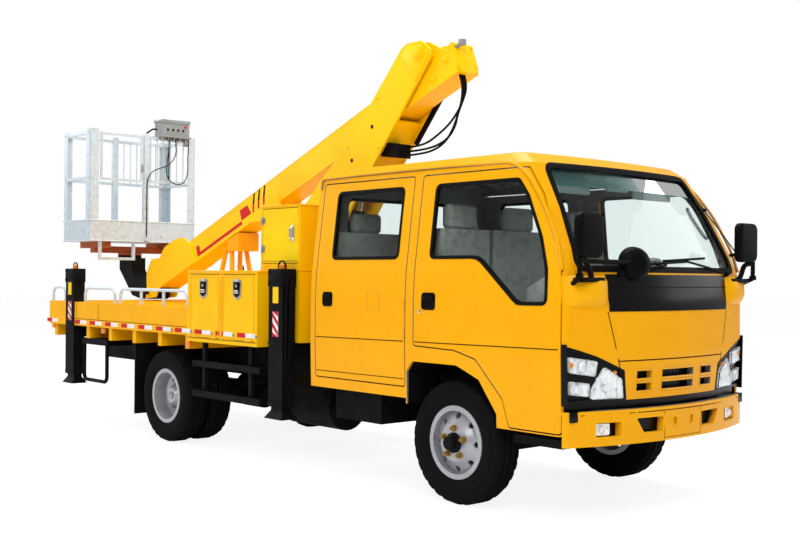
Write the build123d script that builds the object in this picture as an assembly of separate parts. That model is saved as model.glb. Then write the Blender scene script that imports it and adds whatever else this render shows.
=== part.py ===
from build123d import *
import math
import os

os.makedirs("parts", exist_ok=True)

# Folding-arm cherry picker on a light crew-cab truck chassis. Millimetres, +Z up.
# The front faces -Y, the driver sits on the +X side, and the origin is on the ground
# under the middle of the machine.

# Driving dimensions
overall_length = 7110
front_overhang = 1065
wheelbase = 3360
body_half = 980  # half the width over the deck
cab_half = 900
wheel_radius = 384
axle_height = wheel_radius
front_track_half = 752
rear_tyre_centres = (600, 830)
tyre_half = 100
frame_half = 375
frame_low = 560
frame_high = 740
subframe_high = 800
deck_top = 1130
skirt_low = 910
deck_rear = 3010
cab_rear = -1100
cab_floor = 930
gap = 8  # panel gap round every door

front_axle_y = front_overhang - overall_length / 2
rear_axle_y = front_axle_y + wheelbase


# Shapes in the row frame
def box(x, y, z):
    size = Box(x[1] - x[0], y[1] - y[0], z[1] - z[0])
    return Pos(sum(x) / 2, sum(y) / 2, sum(z) / 2) * size


def polygon(points, bend=0):
    face = make_face(Polyline(*points, close=True))
    return fillet(face.vertices(), bend) if bend else face


def side_plate(points, x, bend=0, grow=0):
    # a plate whose outline is drawn in Y and Z, from x[0] to x[1]
    face = polygon(points, bend)
    if grow:
        face = offset(face, grow, kind=Kind.INTERSECTION)
    return extrude(Plane.YZ.offset(x[0]) * face, x[1] - x[0])


def front_plate(points, y, bend=0):
    # a plate whose outline is drawn in X and Z, from y[0] to y[1]
    return extrude(Plane.XZ.offset(-y[1]) * polygon(points, bend), y[1] - y[0])


def rod(start, end, radius):
    way = Vector(*end) - Vector(*start)
    plane = Plane(origin=Vector(*start), z_dir=way)
    return plane * Pos(0, 0, way.length / 2) * Cylinder(radius, way.length)


def bar_x(x, y, z, radius):
    return rod((x[0], y, z), (x[1], y, z), radius)


def hoop(points, radius, bend):
    # a bent tube through the points
    path = FilletPolyline(*points, radius=bend)
    section = Plane(origin=path @ 0, z_dir=path % 0) * Circle(radius)
    return sweep(section, path)


def other_side(shape):
    return mirror(shape, about=Plane.YZ)


def pair(shape):
    return [shape, other_side(shape)]


def solids_of(shapes):
    found = []
    for shape in shapes:
        found += list(shape.solids()) if hasattr(shape, "solids") else solids_of(shape)
    return found


def write(name, *shapes):
    found = solids_of(shapes)
    whole = found[0] if len(found) == 1 else Compound(children=found)
    whole.label = name
    export_step(whole, f"parts/{name}.step")


# Chassis frame: two channel rails, cross members, and the subframe that carries the deck
rail_web = 8
rail_half = frame_half - 60
rail_y = (-3300, deck_rear - 20)
subframe_y = (-1050, deck_rear - 20)
rail = box((rail_half, frame_half), rail_y, (frame_low, frame_high))
rail -= box((rail_half - 1, frame_half - rail_web), rail_y, (frame_low + rail_web, frame_high - rail_web))
subrail = box((rail_half, frame_half), subframe_y, (frame_high, subframe_high))
bumper_horn = box((rail_half, frame_half), (-3477, rail_y[0]), (frame_low, frame_low + 80))
rails = rail + subrail + bumper_horn
frame = rails + other_side(rails)
cross_reach = frame_half - rail_web
for y in (-3260, -1560, -620, 380, 1700, 2700):
    frame += box((-cross_reach, cross_reach), (y - 35, y + 35), (640, 720))
write("chassis_frame", frame)

# Engine with its gearbox and propeller shaft, as plain blocks
engine = box((-285, 285), (-3150, -2350), (470, 900))
engine += box((-170, 170), (-2350, -1750), (480, 690))
engine += rod((0, -1750, 545), (0, rear_axle_y - 138, 400), 42)
write("engine_and_gearbox", engine)


# Axles with their leaf springs
def leaf_spring(axle_y, centre_low, centre_high, half_length, eye_z, x):
    with BuildSketch() as pack:
        with BuildLine():
            low_end = (-half_length, eye_z - 16)
            high_end = (-half_length, eye_z + 16)
            ThreePointArc(low_end, (0, centre_low), (half_length, eye_z - 16))
            Line((half_length, eye_z - 16), (half_length, eye_z + 16))
            ThreePointArc((half_length, eye_z + 16), (0, centre_high), high_end)
            Line(high_end, low_end)
        make_face()
    leaves = extrude(Plane.YZ.offset(x[0]) * Pos(axle_y, 0) * pack.sketch, x[1] - x[0])
    for end in (-half_length, half_length):
        leaves += bar_x(x, axle_y + end, eye_z, 26)
        leaves += box(x, (axle_y + end - 20, axle_y + end + 20), (eye_z, frame_low))
    return leaves


kingpin_x = 650
beam_half = 45
boss_z = (axle_height - 40, axle_height + 40)
beam_line = [(-640, 350), (-612, 350), (-560, 295), (560, 295), (612, 350), (640, 350), (640, 412), (500, 395),
             (-500, 395), (-640, 412)]
beam = front_plate(beam_line, (front_axle_y - beam_half, front_axle_y + beam_half))
for side in (-1, 1):
    beam += rod((side * kingpin_x, front_axle_y, boss_z[0]), (side * kingpin_x, front_axle_y, boss_z[1]), 34)
front_spring = leaf_spring(front_axle_y, 388, 455, 600, 530, (rail_half, frame_half))
front_axle = beam + front_spring + other_side(front_spring)
for side in (-1, 1):
    front_axle -= rod((side * kingpin_x, front_axle_y, 300), (side * kingpin_x, front_axle_y, 450), 18.3)
write("front_axle", front_axle)

spindle_radius = 45
rear_axle = bar_x((-497, 497), rear_axle_y, axle_height, 60)
rear_axle += bar_x((-828, 828), rear_axle_y, axle_height, spindle_radius)
rear_axle += rod((0, rear_axle_y - 130, axle_height), (0, rear_axle_y + 130, axle_height), 155)
rear_spring = leaf_spring(rear_axle_y, 430, 506, 650, 532, (rail_half, frame_half))
rear_axle += rear_spring + other_side(rear_spring)
write("rear_axle", rear_axle)


# Steering knuckles: a forked upright on the kingpin, with the wheel spindle
knuckle_reach = 70
knuckle_ear = 24


def knuckle(side):
    x = side * kingpin_x
    low, high = axle_height - knuckle_reach, axle_height + knuckle_reach
    piece = rod((x, front_axle_y, low), (x, front_axle_y, high), 18)
    ends = sorted((side * 620, side * 705))
    y = (front_axle_y - 32, front_axle_y + 32)
    piece += box(ends, y, (high - knuckle_ear, high))
    piece += box(ends, y, (low, low + knuckle_ear))
    piece += box(sorted((side * 688, side * 705)), (front_axle_y - 42, front_axle_y + 42), (low, high))
    piece += bar_x(sorted((side * 692, side * 698)), front_axle_y, axle_height, 126)
    piece += bar_x(sorted((side * 705, side * 818)), front_axle_y, axle_height, 25)
    return piece


write("knuckle_right", knuckle(-1))
write("knuckle_left", knuckle(1))

# Wheels: profiles are drawn as (distance outward from the wheel's middle, radius)
flange_radius = 225
seat_radius = 206
tyre_line = [(79, seat_radius + 0.2), (79, 226), (tyre_half, 300), (92, 362), (70, wheel_radius)]
barrel_line = [(86, flange_radius), (79, flange_radius), (79, seat_radius), (-79, seat_radius),
               (-79, flange_radius), (-86, flange_radius), (-86, 194), (86, 194)]


def turned(points):
    # the ring that a profile sweeps about the X axis
    return revolve(polygon(points), Axis.X)


def at_wheel(shape, side, centre, axle_y):
    if side < 0:
        shape = mirror(shape, about=Plane.YZ)
    return Pos(side * centre, axle_y, axle_height) * shape


def tyre():
    return turned(tyre_line + [(-w, r) for w, r in reversed(tyre_line)])


def disc(line, hole_w, hole_ring):
    # a wheel disc with its hand holes
    plate = turned(line)
    for turn in range(8):
        around = math.radians(45 * turn)
        y, z = hole_ring * math.cos(around), hole_ring * math.sin(around)
        plate -= bar_x(hole_w, y, z, 19)
    return plate


front_disc = [(30, 196), (30, 182), (58, 140), (84, 112), (84, 30), (94, 30), (94, 116), (66, 150), (42, 196)]
drum = [(-70, 150), (-70, 136), (-4, 136), (-4, 25.3), (70, 25.3), (70, 55), (5, 55), (5, 150)]
hub_cap = [(70, 0), (110, 0), (110, 48), (84, 55), (70, 55)]
hub_sleeve = [(-40, 25.3), (-4, 25.3), (-4, 55), (-40, 55)]
front_rim = turned(barrel_line) + disc(front_disc, (28, 80), 162) + turned(drum)
front_rim += turned(hub_cap) + turned(hub_sleeve)

spacing_half = (rear_tyre_centres[1] - rear_tyre_centres[0]) / 2

def twin_rim():
    # drawn about the middle between the two tyres; the outer disc is dished inward
    outer = Pos(spacing_half, 0, 0) * (turned(barrel_line) + disc(twin_dish(1), (-60, -18), 150))
    inner = Pos(-spacing_half, 0, 0) * (turned(barrel_line) + disc(twin_dish(-1), (18, 60), 150))
    return outer + inner + turned(twin_hub)


def twin_dish(way):
    line = [(-30, 196), (-30, 184), (-62, 150), (-98, 128), (-98, 60), (-108, 60), (-108, 134), (-74, 158), (-44, 196)]
    return [(way * w, r) for w, r in line]


twin_hub = [(-112, 45.4), (118, 45.4), (118, 0), (150, 0), (150, 62), (110, 92), (20, 92), (20, 134),
            (-20, 134), (-20, 92), (-112, 92)]
rear_rim = twin_rim()
rear_tyres = [Pos(way * spacing_half, 0, 0) * tyre() for way in (-1, 1)]
rear_centre = sum(rear_tyre_centres) / 2
for side, hand in ((-1, "right"), (1, "left")):
    write(f"front_rim_{hand}", at_wheel(front_rim, side, front_track_half, front_axle_y))
    write(f"front_tyre_{hand}", at_wheel(tyre(), side, front_track_half, front_axle_y))
    write(f"rear_rims_{hand}", at_wheel(rear_rim, side, rear_centre, rear_axle_y))
    write(f"rear_tyres_{hand}", *[at_wheel(piece, side, rear_centre, rear_axle_y) for piece in rear_tyres])

# Crew cab: one hull through level sections, each (height, half width, nose at the middle,
# nose at the corners, corner radius, rear face), with the noses measured ahead of the front axle
wall = 40
pane_depth = 16
pane_thickness = 6
cab_sections = [
    (520, 888, 1005, 882, 60, 0),
    (960, 900, 1030, 895, 60, 0),
    (1250, 900, 1025, 892, 60, 0),
    (1424, 892, 1000, 876, 60, 0),
    (1560, 875, 922, 830, 65, 0),
    (1800, 846, 782, 712, 75, 0),
    (2064, 812, 620, 543, 90, 0),
    (2128, 768, 515, 450, 90, 40),
    (2150, 640, 390, 340, 80, 150),
]


def cab_section(half, middle, corner, bend, rear, z):
    with BuildSketch(Plane.XY.offset(z)) as level:
        with BuildLine():
            ThreePointArc((-half, -corner), (0, -middle), (half, -corner))
            Polyline((half, -corner), (half, -rear), (-half, -rear), (-half, -corner))
        make_face()
        nose = level.vertices().sort_by(Axis.Y)[:2]
        fillet(nose, bend)
    return level.sketch


def cab_hull(inset, low=None):
    # the cab's outer form, brought in by inset all over
    levels = []
    for z, half, middle, corner, bend, rear in cab_sections:
        height = z - inset if z > 2070 else z
        if z == cab_sections[0][0] and low is not None:
            height = low
        back = cab_rear - rear - inset
        levels.append(cab_section(half - inset, middle - front_axle_y - inset, corner - front_axle_y - inset,
                                  bend - inset / 2, -back, height))
    return loft(levels, ruled=True)


hull = cab_hull(0)
shell = hull - cab_hull(wall, low=480)
pane_shell = cab_hull(pane_depth) - cab_hull(pane_depth + pane_thickness, low=500)


def from_axle(points):
    # (distance behind the front axle, height) to (Y, Z)
    return [(front_axle_y + along, z) for along, z in points]


windscreen_line = [(-788, 1440), (788, 1440), (690, 2062), (-690, 2062)]
windscreen_y = (-3650, -2850)
screen_bend = 70
rear_window_line = [(-620, 1480), (620, 1480), (600, 1960), (-600, 1960)]
rear_window_y = (cab_rear - 60, cab_rear + 20)
arch_line = from_axle([(385, 400), (385, 800), (335, 862), (-60, 862), (-250, 790), (-392, 600), (-396, 400)])
front_door_line = from_axle([(318, 965), (-44, 955), (-225, 912), (-440, 695), (-492, 535), (-872, 535),
                             (-872, 1310), (-858, 1450), (-819, 1568), (-665, 1863), (-545, 2030), (318, 2030)])
rear_door_line = from_axle([(1332, 700), (405, 700), (405, 2030), (1332, 2030)])
front_window_line = from_axle([(200, 1504), (-218, 1504), (-548, 1236), (-781, 1239), (-778, 1440),
                               (-716, 1629), (-589, 1872), (-500, 1975), (200, 1975)])
rear_window_side_line = from_axle([(1180, 1504), (485, 1504), (485, 1975), (1180, 1975)])
door_x = (-960, -765)
window_bend = 45
nose_top = 1420
nose_y = front_axle_y - 880
nose_low = 707
lamp_line = [(-920, 1025), (-862, 1015), (-673, 958), (-473, 876), (-448, nose_low), (-920, nose_low)]
lamp_y = (-3650, nose_y + 60)

hinge_radius = 6
leaf_room = box((-cab_half + wall, -700), (nose_y - 30, nose_y + 110), (500, 1424))  # no flange turns in behind the nose
doors = {"front": (front_door_line, front_window_line, (-892, nose_y + 18)),
         "rear": (rear_door_line, rear_window_side_line, (-901, front_axle_y + 411))}
for place, (outline, window, hinge) in doors.items():
    leaf = shell & side_plate(outline, door_x, 18)
    leaf -= side_plate(window, door_x, window_bend)
    leaf -= leaf_room
    for z in (1000, 1180):
        leaf += rod((*hinge, z), (*hinge, z + 60), hinge_radius)
    pane = pane_shell & side_plate(window, door_x, window_bend)
    for hand, place_shape in (("right", lambda s: s), ("left", other_side)):
        write(f"{place}_door_{hand}", place_shape(leaf))
        write(f"{place}_door_glass_{hand}", place_shape(pane))

door_cuts = []
for outline in (front_door_line, rear_door_line):
    cut = side_plate(outline, door_x, 18, grow=gap)
    door_cuts += pair(cut)

# the nose panel, from the bumper's top to the windscreen, with its grille slots
nose_box = box((-1000, 1000), (-3700, nose_y), (nose_low, nose_top))
nose = shell & nose_box
nose -= front_plate(lamp_line, lamp_y)
nose -= other_side(front_plate(lamp_line, lamp_y))
slot_rows = ((751, 799), (821, 870))
slot_columns = ((-378, -243), (-161, 161), (243, 378))
for z in slot_rows:
    for x in slot_columns:
        nose -= box(x, (-3700, -3300), z)
write("cab_nose", nose)
headlamp = shell & nose_box & front_plate(lamp_line, lamp_y)

cab = shell - box((-1000, 1000), (-3700, nose_y), (400, nose_top))
for cut in door_cuts:
    cab -= cut
cab -= front_plate(windscreen_line, windscreen_y, screen_bend)
cab -= front_plate(rear_window_line, rear_window_y, screen_bend)
cab -= side_plate(arch_line, (-1000, 1000))
cab -= box((-420, 420), (cab_rear - 60, cab_rear + 20), (400, 760))
cab -= box((-835, 835), (cab_rear - 60, cab_rear + 20), (400, 670))
cab -= box((-1000, 1000), (front_axle_y + 380, cab_rear + 20), (400, 625))
inner_half = cab_half - wall - 8
cab += box((-inner_half, inner_half), (nose_y + 70, cab_rear - wall), (cab_floor, cab_floor + 30))
liner = side_plate(arch_line, (-890, -600), grow=8) - side_plate(arch_line, (-900, -590))
liner &= box((-890, -600), (-3000, -2050), (590, cab_floor))
liner += box((-860, -600), (front_axle_y - 60, front_axle_y + 335), (866, cab_floor))
liner &= hull
cab += liner + other_side(liner)
write("cab_shell", cab)

glass = [pane_shell & front_plate(windscreen_line, windscreen_y, screen_bend),
         pane_shell & front_plate(rear_window_line, rear_window_y, screen_bend)]
write("cab_glass", glass)

# Front bumper, with its lamp pockets, air slots and two towing holes
bumper_z = (461, 656)
bumper_wall = 45


def bumper_level(inset, z):
    return cab_section(890 - inset, 3555 - inset, 3390 - inset, 40 - inset / 2, 3200, z)


bumper = extrude(bumper_level(0, bumper_z[0]), bumper_z[1] - bumper_z[0])
bumper -= extrude(bumper_level(bumper_wall, bumper_z[0] - 5), bumper_z[1] - bumper_z[0] + 10)
bumper &= box((-1000, 1000), (-3700, nose_y - 4), bumper_z)
cut_y = (-3700, -3330)
air_slot = [(-420, 608), (-184, 608), (-192, 512), (-356, 512)]
tow_hole = [(-102, 537), (-62, 537), (-62, 597), (-102, 597)]
fog_pocket = [(-700, 506), (-515, 506), (-515, 595), (-700, 595)]
for outline, bend in ((air_slot, 14), (tow_hole, 19), (fog_pocket, 12)):
    pocket = front_plate(outline, cut_y, bend)
    bumper -= pocket
    bumper -= other_side(pocket)
write("front_bumper", bumper)

# Seats, dashboard and steering wheel
seats = []
for x0, x1 in ((-790, -380), (-340, 260), (380, 790)):
    seats.append(box((x0, x1), (-2800, -2330), (1100, 1220)) + box((x0, x1), (-2330, -2210), (1100, 1700)))
seats.append(box((-790, 790), (-1720, -1270), (1080, 1220)) + box((-790, 790), (-1270, -1160), (1080, 1700)))
seats[0] += box((-780, 780), (-2790, -2215), (cab_floor + 30, 1100))
seats[3] += box((-780, 780), (-1700, -1165), (cab_floor + 30, 1080))
dash_line = [(-3290, 960), (-3290, 1390), (-3150, 1400), (-3020, 1330), (-3020, 1180), (-3130, 1130), (-3200, 960)]
dashboard = side_plate(dash_line, (-790, 790), 12)
wheel_plane = Plane(origin=(430, -2860, 1420), z_dir=(0, 0.5, 0.87))
steering = wheel_plane * Torus(195, 14)
steering += wheel_plane * Box(380, 40, 16)
steering += rod(tuple(wheel_plane.origin), (430, -3060, 1250), 24)
write("cab_interior", seats[0] + seats[1] + seats[2], seats[3], dashboard + steering)

# Door mirrors on arms at the nose's corners
mirror_x = (690, 900)
mirror_y = (-3502, -3452)
mirror_z = (1505, 1755)
mirrors = []
for side in (-1, 1):
    foot = (side * 875, sum(mirror_y) / 2, 1400)
    arm = rod((side * 830, -3355, 1330), foot, 18) + rod(foot, (foot[0], foot[1], mirror_z[0] + 20), 14)
    arm += Pos(*foot) * Sphere(18)
    mirrors.append(arm - hull + box(sorted((side * mirror_x[0], side * mirror_x[1])), mirror_y, mirror_z))
write("mirrors", mirrors)

# Deck: floor, side skirts and bearers, open over the turret and notched for the rear legs
locker_y = (-555, 424)
locker_x = (-body_half, -560)
column_half_x = (875, 985)
rear_column_y = (2470, 2640)
front_column_y = (-880, -710)
turret_y = -150
turret_hole = 400
skirt_wall = 20
column_room = 12
rear_notch_y = (rear_column_y[0] - column_room, rear_column_y[1] + column_room)
deck = box((-body_half, body_half), (locker_y[1], deck_rear), (deck_top - 18, deck_top))
deck += box((locker_x[1], -locker_x[1]), (locker_y[0], locker_y[1]), (deck_top - 18, deck_top))
deck += box((body_half - skirt_wall, body_half), (locker_y[1], deck_rear), (skirt_low, deck_top))
deck += box((-body_half, -body_half + skirt_wall), (locker_y[1], deck_rear), (skirt_low, deck_top))
deck += box((-body_half, body_half), (deck_rear - skirt_wall, deck_rear), (skirt_low, deck_top))
for y in (-500, 460, 900, 1340, 1780, 2220, 2900):
    reach = -locker_x[1] if y < locker_y[1] else body_half - skirt_wall
    deck += box((-reach, reach), (y - 30, y + 30), (subframe_high, deck_top - 18))
for side in (-1, 1):
    deck -= box(sorted((side * 860, side * 1000)), rear_notch_y, (skirt_low - 20, deck_top + 10))
deck -= box((-turret_hole, turret_hole), (turret_y - turret_hole, turret_y + turret_hole), (700, 1200))
write("deck", deck)

# Handrail hoops round the deck
rail_radius = 13
rail_top = 1262
rail_x = body_half - 30
hoops = []
for y0, y1, posts in ((470, 1614, (860, 1240)), (1717, 2300, ()), (2714, 2984, ())):
    line = [(-rail_x, y0, deck_top), (-rail_x, y0, rail_top), (-rail_x, y1, rail_top), (-rail_x, y1, deck_top)]
    whole = hoop(line, rail_radius, 70)
    for y in posts:
        whole += rod((-rail_x, y, deck_top), (-rail_x, y, rail_top), rail_radius)
    hoops += pair(whole)
write("deck_handrails", hoops)

# Lockers along both sides and the tall cabinet, with their doors
locker_z = (866, 1425)
locker_wall = 20
door_z = (905, 1396)
locker_doors_y = ((-520, -88), (-44, 388))
lid_gap = 5
lid_barrel = 4


def hollow(x, y, z, thick):
    inside = box((x[0] + thick, x[1] - thick), (y[0] + thick, y[1] - thick), (z[0] + thick, z[1] - thick))
    return box(x, y, z) - inside


locker = hollow(locker_x, locker_y, locker_z, locker_wall)
lid_x = (locker_x[0], locker_x[0] + locker_wall)
for number, y in enumerate(locker_doors_y):
    wide = (y[0] - lid_gap, y[1] + lid_gap)
    locker -= box((lid_x[0] - 5, lid_x[1]), wide, (door_z[0] - lid_gap, door_z[1] + lid_gap))
    lid = box(lid_x, y, door_z)
    for end in (y[0] + 60, y[1] - 120):
        lid += rod((lid_x[0], end, door_z[0]), (lid_x[0], end + 60, door_z[0]), lid_barrel)
    place = ("front", "rear")[number]
    write(f"locker_door_{place}_right", lid)
    write(f"locker_door_{place}_left", other_side(lid))

cabinet_x = (-850, -470)
cabinet_y = (-900, -410)
cabinet_z = (1425, 1905)
cabinet_wall = 15
cabinet = hollow(cabinet_x, cabinet_y, cabinet_z, cabinet_wall)
cabinet_door_y = (-875, -435)
cabinet_door_z = (1486, 1885)
cabinet_door_x = (cabinet_x[0], cabinet_x[0] + cabinet_wall)
cabinet -= box((cabinet_x[0] - 5, cabinet_door_x[1]), (cabinet_door_y[0] - lid_gap, cabinet_door_y[1] + lid_gap),
               (cabinet_door_z[0] - lid_gap, cabinet_door_z[1] + lid_gap))
pedestal = box(cabinet_x, (cabinet_y[0], locker_y[0]), (subframe_high + 110, cabinet_z[0]))
cabinet_leaf = box(cabinet_door_x, cabinet_door_y, cabinet_door_z)
cabinet_hinge = (cabinet_x[0] - 3, cabinet_door_y[1] - 2)
for z in (1560, 1770):
    cabinet_leaf += rod((*cabinet_hinge, z), (*cabinet_hinge, z + 40), hinge_radius)
write("cabinet_door", cabinet_leaf)
write("lockers", locker, other_side(locker), cabinet + pedestal)

# Outriggers: cross tubes with a column at each end, and a jack leg sliding in each column
column_z = (450, 1440)
column_wall = 10
cross_z = (subframe_high, subframe_high + 110)
outriggers = []
leg_clear = 6
for place, y in (("front", front_column_y), ("rear", rear_column_y)):
    tube = box((-column_half_x[0], column_half_x[0]), (y[0] + 20, y[1] - 20), cross_z)
    for side in (-1, 1):
        x = sorted((side * column_half_x[0], side * column_half_x[1]))
        bore = box((x[0] + column_wall, x[1] - column_wall), (y[0] + column_wall, y[1] - column_wall),
                   (column_z[0] - 5, column_z[1] - 25))
        column = box(x, y, column_z) + box((x[0] - 4, x[1] + 4), (y[0] - 4, y[1] + 4), (column_z[1] - 120, column_z[1]))
        tube += column - bore
        hand = "right" if side < 0 else "left"
        room = column_wall + leg_clear
        leg = box((x[0] + room, x[1] - room), (y[0] + room, y[1] - room), (400, 1030))
        middle = (sum(x) / 2, sum(y) / 2)
        foot = Pos(*middle, 365) * extrude(Rectangle(150, 215), 60, taper=32)
        write(f"jack_leg_{place}_{hand}", leg + foot)
    outriggers.append(tube)
write("outrigger_frames", outriggers)

# A-frame that the upper boom rests on
rest_y = 1230
rest_top = 1640
rest = box((-150, 150), (rest_y - 170, rest_y + 170), (deck_top, deck_top + 12))
for x in (-1, 1):
    for y in (-1, 1):
        foot_point = (x * 125, rest_y + y * 140, deck_top + 6)
        rest += rod(foot_point, (x * 75, rest_y + y * 45, rest_top), 22)

# Booms. Knee and base pivots, and the lines that the boxes follow
knee = (-1382, 3026)
base = (90, 1560)
upper_slope = math.radians(20.9)


def on_upper(u, v):
    # u along the upper boom from the knee towards the basket, v square to it and up
    return (knee[0] + u * math.cos(upper_slope) + v * math.sin(upper_slope),
            knee[1] - u * math.sin(upper_slope) + v * math.cos(upper_slope))


lower_length = math.dist(knee, base)
lower_way = ((knee[0] - base[0]) / lower_length, (knee[1] - base[1]) / lower_length)


def on_lower(s, v):
    # s along the lower boom from its base to the knee, v towards its front
    return (base[0] + s * lower_way[0] - v * lower_way[1], base[1] + s * lower_way[1] + v * lower_way[0])


boom_half = 105
boom_v = (-296, -74)
boom_u = (-272, 4160)
boom_wall = 12


def upper_box(u, v, x):
    corners = [on_upper(u[0], v[0]), on_upper(u[1], v[0]), on_upper(u[1], v[1]), on_upper(u[0], v[1])]
    return side_plate(corners, x)


upper = upper_box(boom_u, boom_v, (-boom_half, boom_half))
upper -= upper_box((boom_u[0] + boom_wall, boom_u[1] + 5), (boom_v[0] + boom_wall, boom_v[1] - boom_wall),
                   (-boom_half + boom_wall, boom_half - boom_wall))
pin_radius = 35
knee_ear = [on_upper(u, v) for u, v in ((-190, -80), (-80, 45), (-30, 68), (30, 68), (80, 45), (260, -80))]
for x in ((-boom_half, -boom_half + 25), (boom_half - 25, boom_half)):
    upper += side_plate(knee_ear, x)
upper -= bar_x((-200, 200), *knee, pin_radius + 0.3)
head_line = [on_upper(u, v) for u, v in ((3480, -120), (3560, -20), (3640, 20), (3740, 44), (3950, 44), (4075, -20),
                                         (4226, 28), (4330, -36), (4378, -96), (4412, -210), (4470, -300),
                                         (4275, -356), (4205, -296), (3480, -296))]
belly = [on_upper(u, v) for u, v in ((2016, -240), (2016, -440), (2120, -440), (2330, -352), (2520, -292), (2480, -240))]
level_pivot = on_upper(4385, -262)
write("upper_boom", upper)
side_plates = []
for x in ((-boom_half - 14, -boom_half), (boom_half, boom_half + 14)):
    side_plates.append(side_plate(head_line, x) - bar_x((-200, 200), *level_pivot, 25.3))
    side_plates.append(side_plate(belly, x))
write("boom_side_plates", side_plates)

fork_half = 150
plate = 22
lower_line = [(-60, 120), (300, 262), (640, 258), (885, 222), (1499, 171), (2139, 118), (2166, 82), (2147, -48),
              (2036, -157), (1980, -175), (1463, -160), (880, -181), (345, -225), (-60, -120)]
lower_points = [on_lower(s, v) for s, v in lower_line]
lower = side_plate(lower_points, (-fork_half, -fork_half + plate))
lower += side_plate(lower_points, (fork_half - plate, fork_half))
web_reach = fork_half - plate
rear_web = [on_lower(s, v) for s, v in ((-30, -112), (345, -214), (826, -172), (826, -150), (345, -192), (-30, -90))]
lower += side_plate(rear_web, (-web_reach, web_reach))
front_web = [on_lower(s, v) for s, v in ((922, 207), (1499, 160), (1560, 155), (1560, 133), (1499, 138), (922, 185))]
lower += side_plate(front_web, (-web_reach, web_reach))
bulkhead = [on_lower(s, v) for s, v in ((932, 200), (954, 198), (836, -165), (814, -167))]
lower += side_plate(bulkhead, (-web_reach, web_reach))
lower += bar_x((-fork_half - 25, fork_half + 25), *knee, pin_radius)
lower += bar_x((-fork_half - 12, -fork_half), *knee, 62) + bar_x((fork_half, fork_half + 12), *knee, 62)
lower += bar_x((-fork_half - 55, fork_half + 55), *base, pin_radius)
rod_lug = on_lower(800, 120)
lower += bar_x((-web_reach, web_reach), *rod_lug, 20)
write("lower_boom", lower)

# Turret: slewing ring, table and two cheeks that hold the lower boom's base
pedestal_z = (subframe_high, 1180)
slew_base = box((-frame_half, frame_half), (turret_y - 380, turret_y + 380), (subframe_high, subframe_high + 20))
slew_base += Pos(0, turret_y, sum(pedestal_z) / 2) * Cylinder(300, pedestal_z[1] - pedestal_z[0])
slew_base += Pos(0, turret_y, 1170) * Cylinder(345, 20)
write("slewing_base", slew_base)
table_z = (1186, 1216)
turret = Pos(0, turret_y, sum(table_z) / 2) * Cylinder(350, table_z[1] - table_z[0])
cheek_x = (165, 195)
ram_foot = (-330, 1300)
cheek_line = [(-430, 1216), (-430, 1350), (-300, 1400), (-20, 1640), (40, 1672), (150, 1672), (185, 1640), (185, 1216)]
for x in (cheek_x, (-cheek_x[1], -cheek_x[0])):
    turret += side_plate(cheek_line, x)
turret -= bar_x((-260, 260), *base, pin_radius + 0.3)
turret += bar_x((-cheek_x[0], cheek_x[0]), *ram_foot, 24)
write("turret", turret)

# Lift cylinder between the turret and the lower boom
ram_way = ((rod_lug[0] - ram_foot[0]), (rod_lug[1] - ram_foot[1]))
ram_length = math.hypot(*ram_way)
ram_dir = (ram_way[0] / ram_length, ram_way[1] / ram_length)


def on_ram(distance):
    return (0, ram_foot[0] + distance * ram_dir[0], ram_foot[1] + distance * ram_dir[1])


barrel_radius = 58
rod_radius = 30
barrel = rod(on_ram(35), on_ram(640), barrel_radius) - rod(on_ram(60), on_ram(650), rod_radius + 0.3)
barrel += bar_x((-50, 50), *ram_foot, 44)
barrel -= bar_x((-60, 60), *ram_foot, 24.3)
write("lift_cylinder_barrel", barrel)
eye_radius = 62
ram = rod(on_ram(110), on_ram(ram_length - 50), rod_radius) + bar_x((-45, 45), *rod_lug, eye_radius)
ram -= bar_x((-60, 60), *rod_lug, 42)
write("lift_cylinder_rod", ram)

# The A-frame's head, cut to the upper boom's slope
rest_gap = 14
rest_head = []
for u in (2700, 2890):
    rest_head.append(on_upper(u, boom_v[0] - rest_gap))
rest_head += [(rest_head[1][0], rest_top - 30), (rest_head[0][0], rest_top - 30)]
rest += side_plate(rest_head, (-110, 110))
write("boom_rest", rest)

# Levelling arm behind the boom's head, with the rotator that carries the basket
basket_y = (2945, 3555)
basket_half = 600
basket_middle = sum(basket_y) / 2
basket_floor = 1725
arm_line = [(-62, -30), (-30, -70), (240, -74), (420, -40), (700, 230), (700, 345), (440, 345), (440, 220), (260, 70),
            (-20, 62), (-62, 25)]
arm = side_plate([(level_pivot[0] + y, level_pivot[1] + z) for y, z in arm_line], (-80, 80))
arm += bar_x((-boom_half - 40, boom_half + 40), *level_pivot, 25)
rotator_z = (level_pivot[1] + 345, 1590)
arm += Pos(0, basket_middle, sum(rotator_z) / 2) * Cylinder(120, rotator_z[1] - rotator_z[0])
write("levelling_arm", arm)

# Basket: floor, kick plates, angle posts and rails, with a gate, a control box and beams below
post_leg = 95
post_wall = 6
post_bend = 30
rail_wide = 28
post_top = 2845
top_rail = (2792, 2820)
mid_rail = (2340, 2368)
kick_top = 1935
gate_post = (-2, 50)
step_z = 1535


def angle_post(side, end):
    # a folded corner post with its legs along the basket's sides
    x, y = side * basket_half, basket_y[end]
    inward = (-side, 1 if end == 0 else -1)
    corner = [(x, y), (x + inward[0] * post_leg, y), (x + inward[0] * post_leg, y + inward[1] * post_leg),
              (x, y + inward[1] * post_leg)]
    outer = make_face(Polyline(*corner, close=True))
    outer = fillet(outer.vertices().sort_by_distance((x, y, 0))[0], post_bend)
    room = [(px + inward[0] * post_wall, py + inward[1] * post_wall) for px, py in corner]
    inner = make_face(Polyline(*room, close=True))
    inner = fillet(inner.vertices().sort_by_distance((x, y, 0))[0], post_bend - post_wall)
    return Pos(0, 0, basket_floor) * extrude(outer - inner, post_top - basket_floor)


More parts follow.
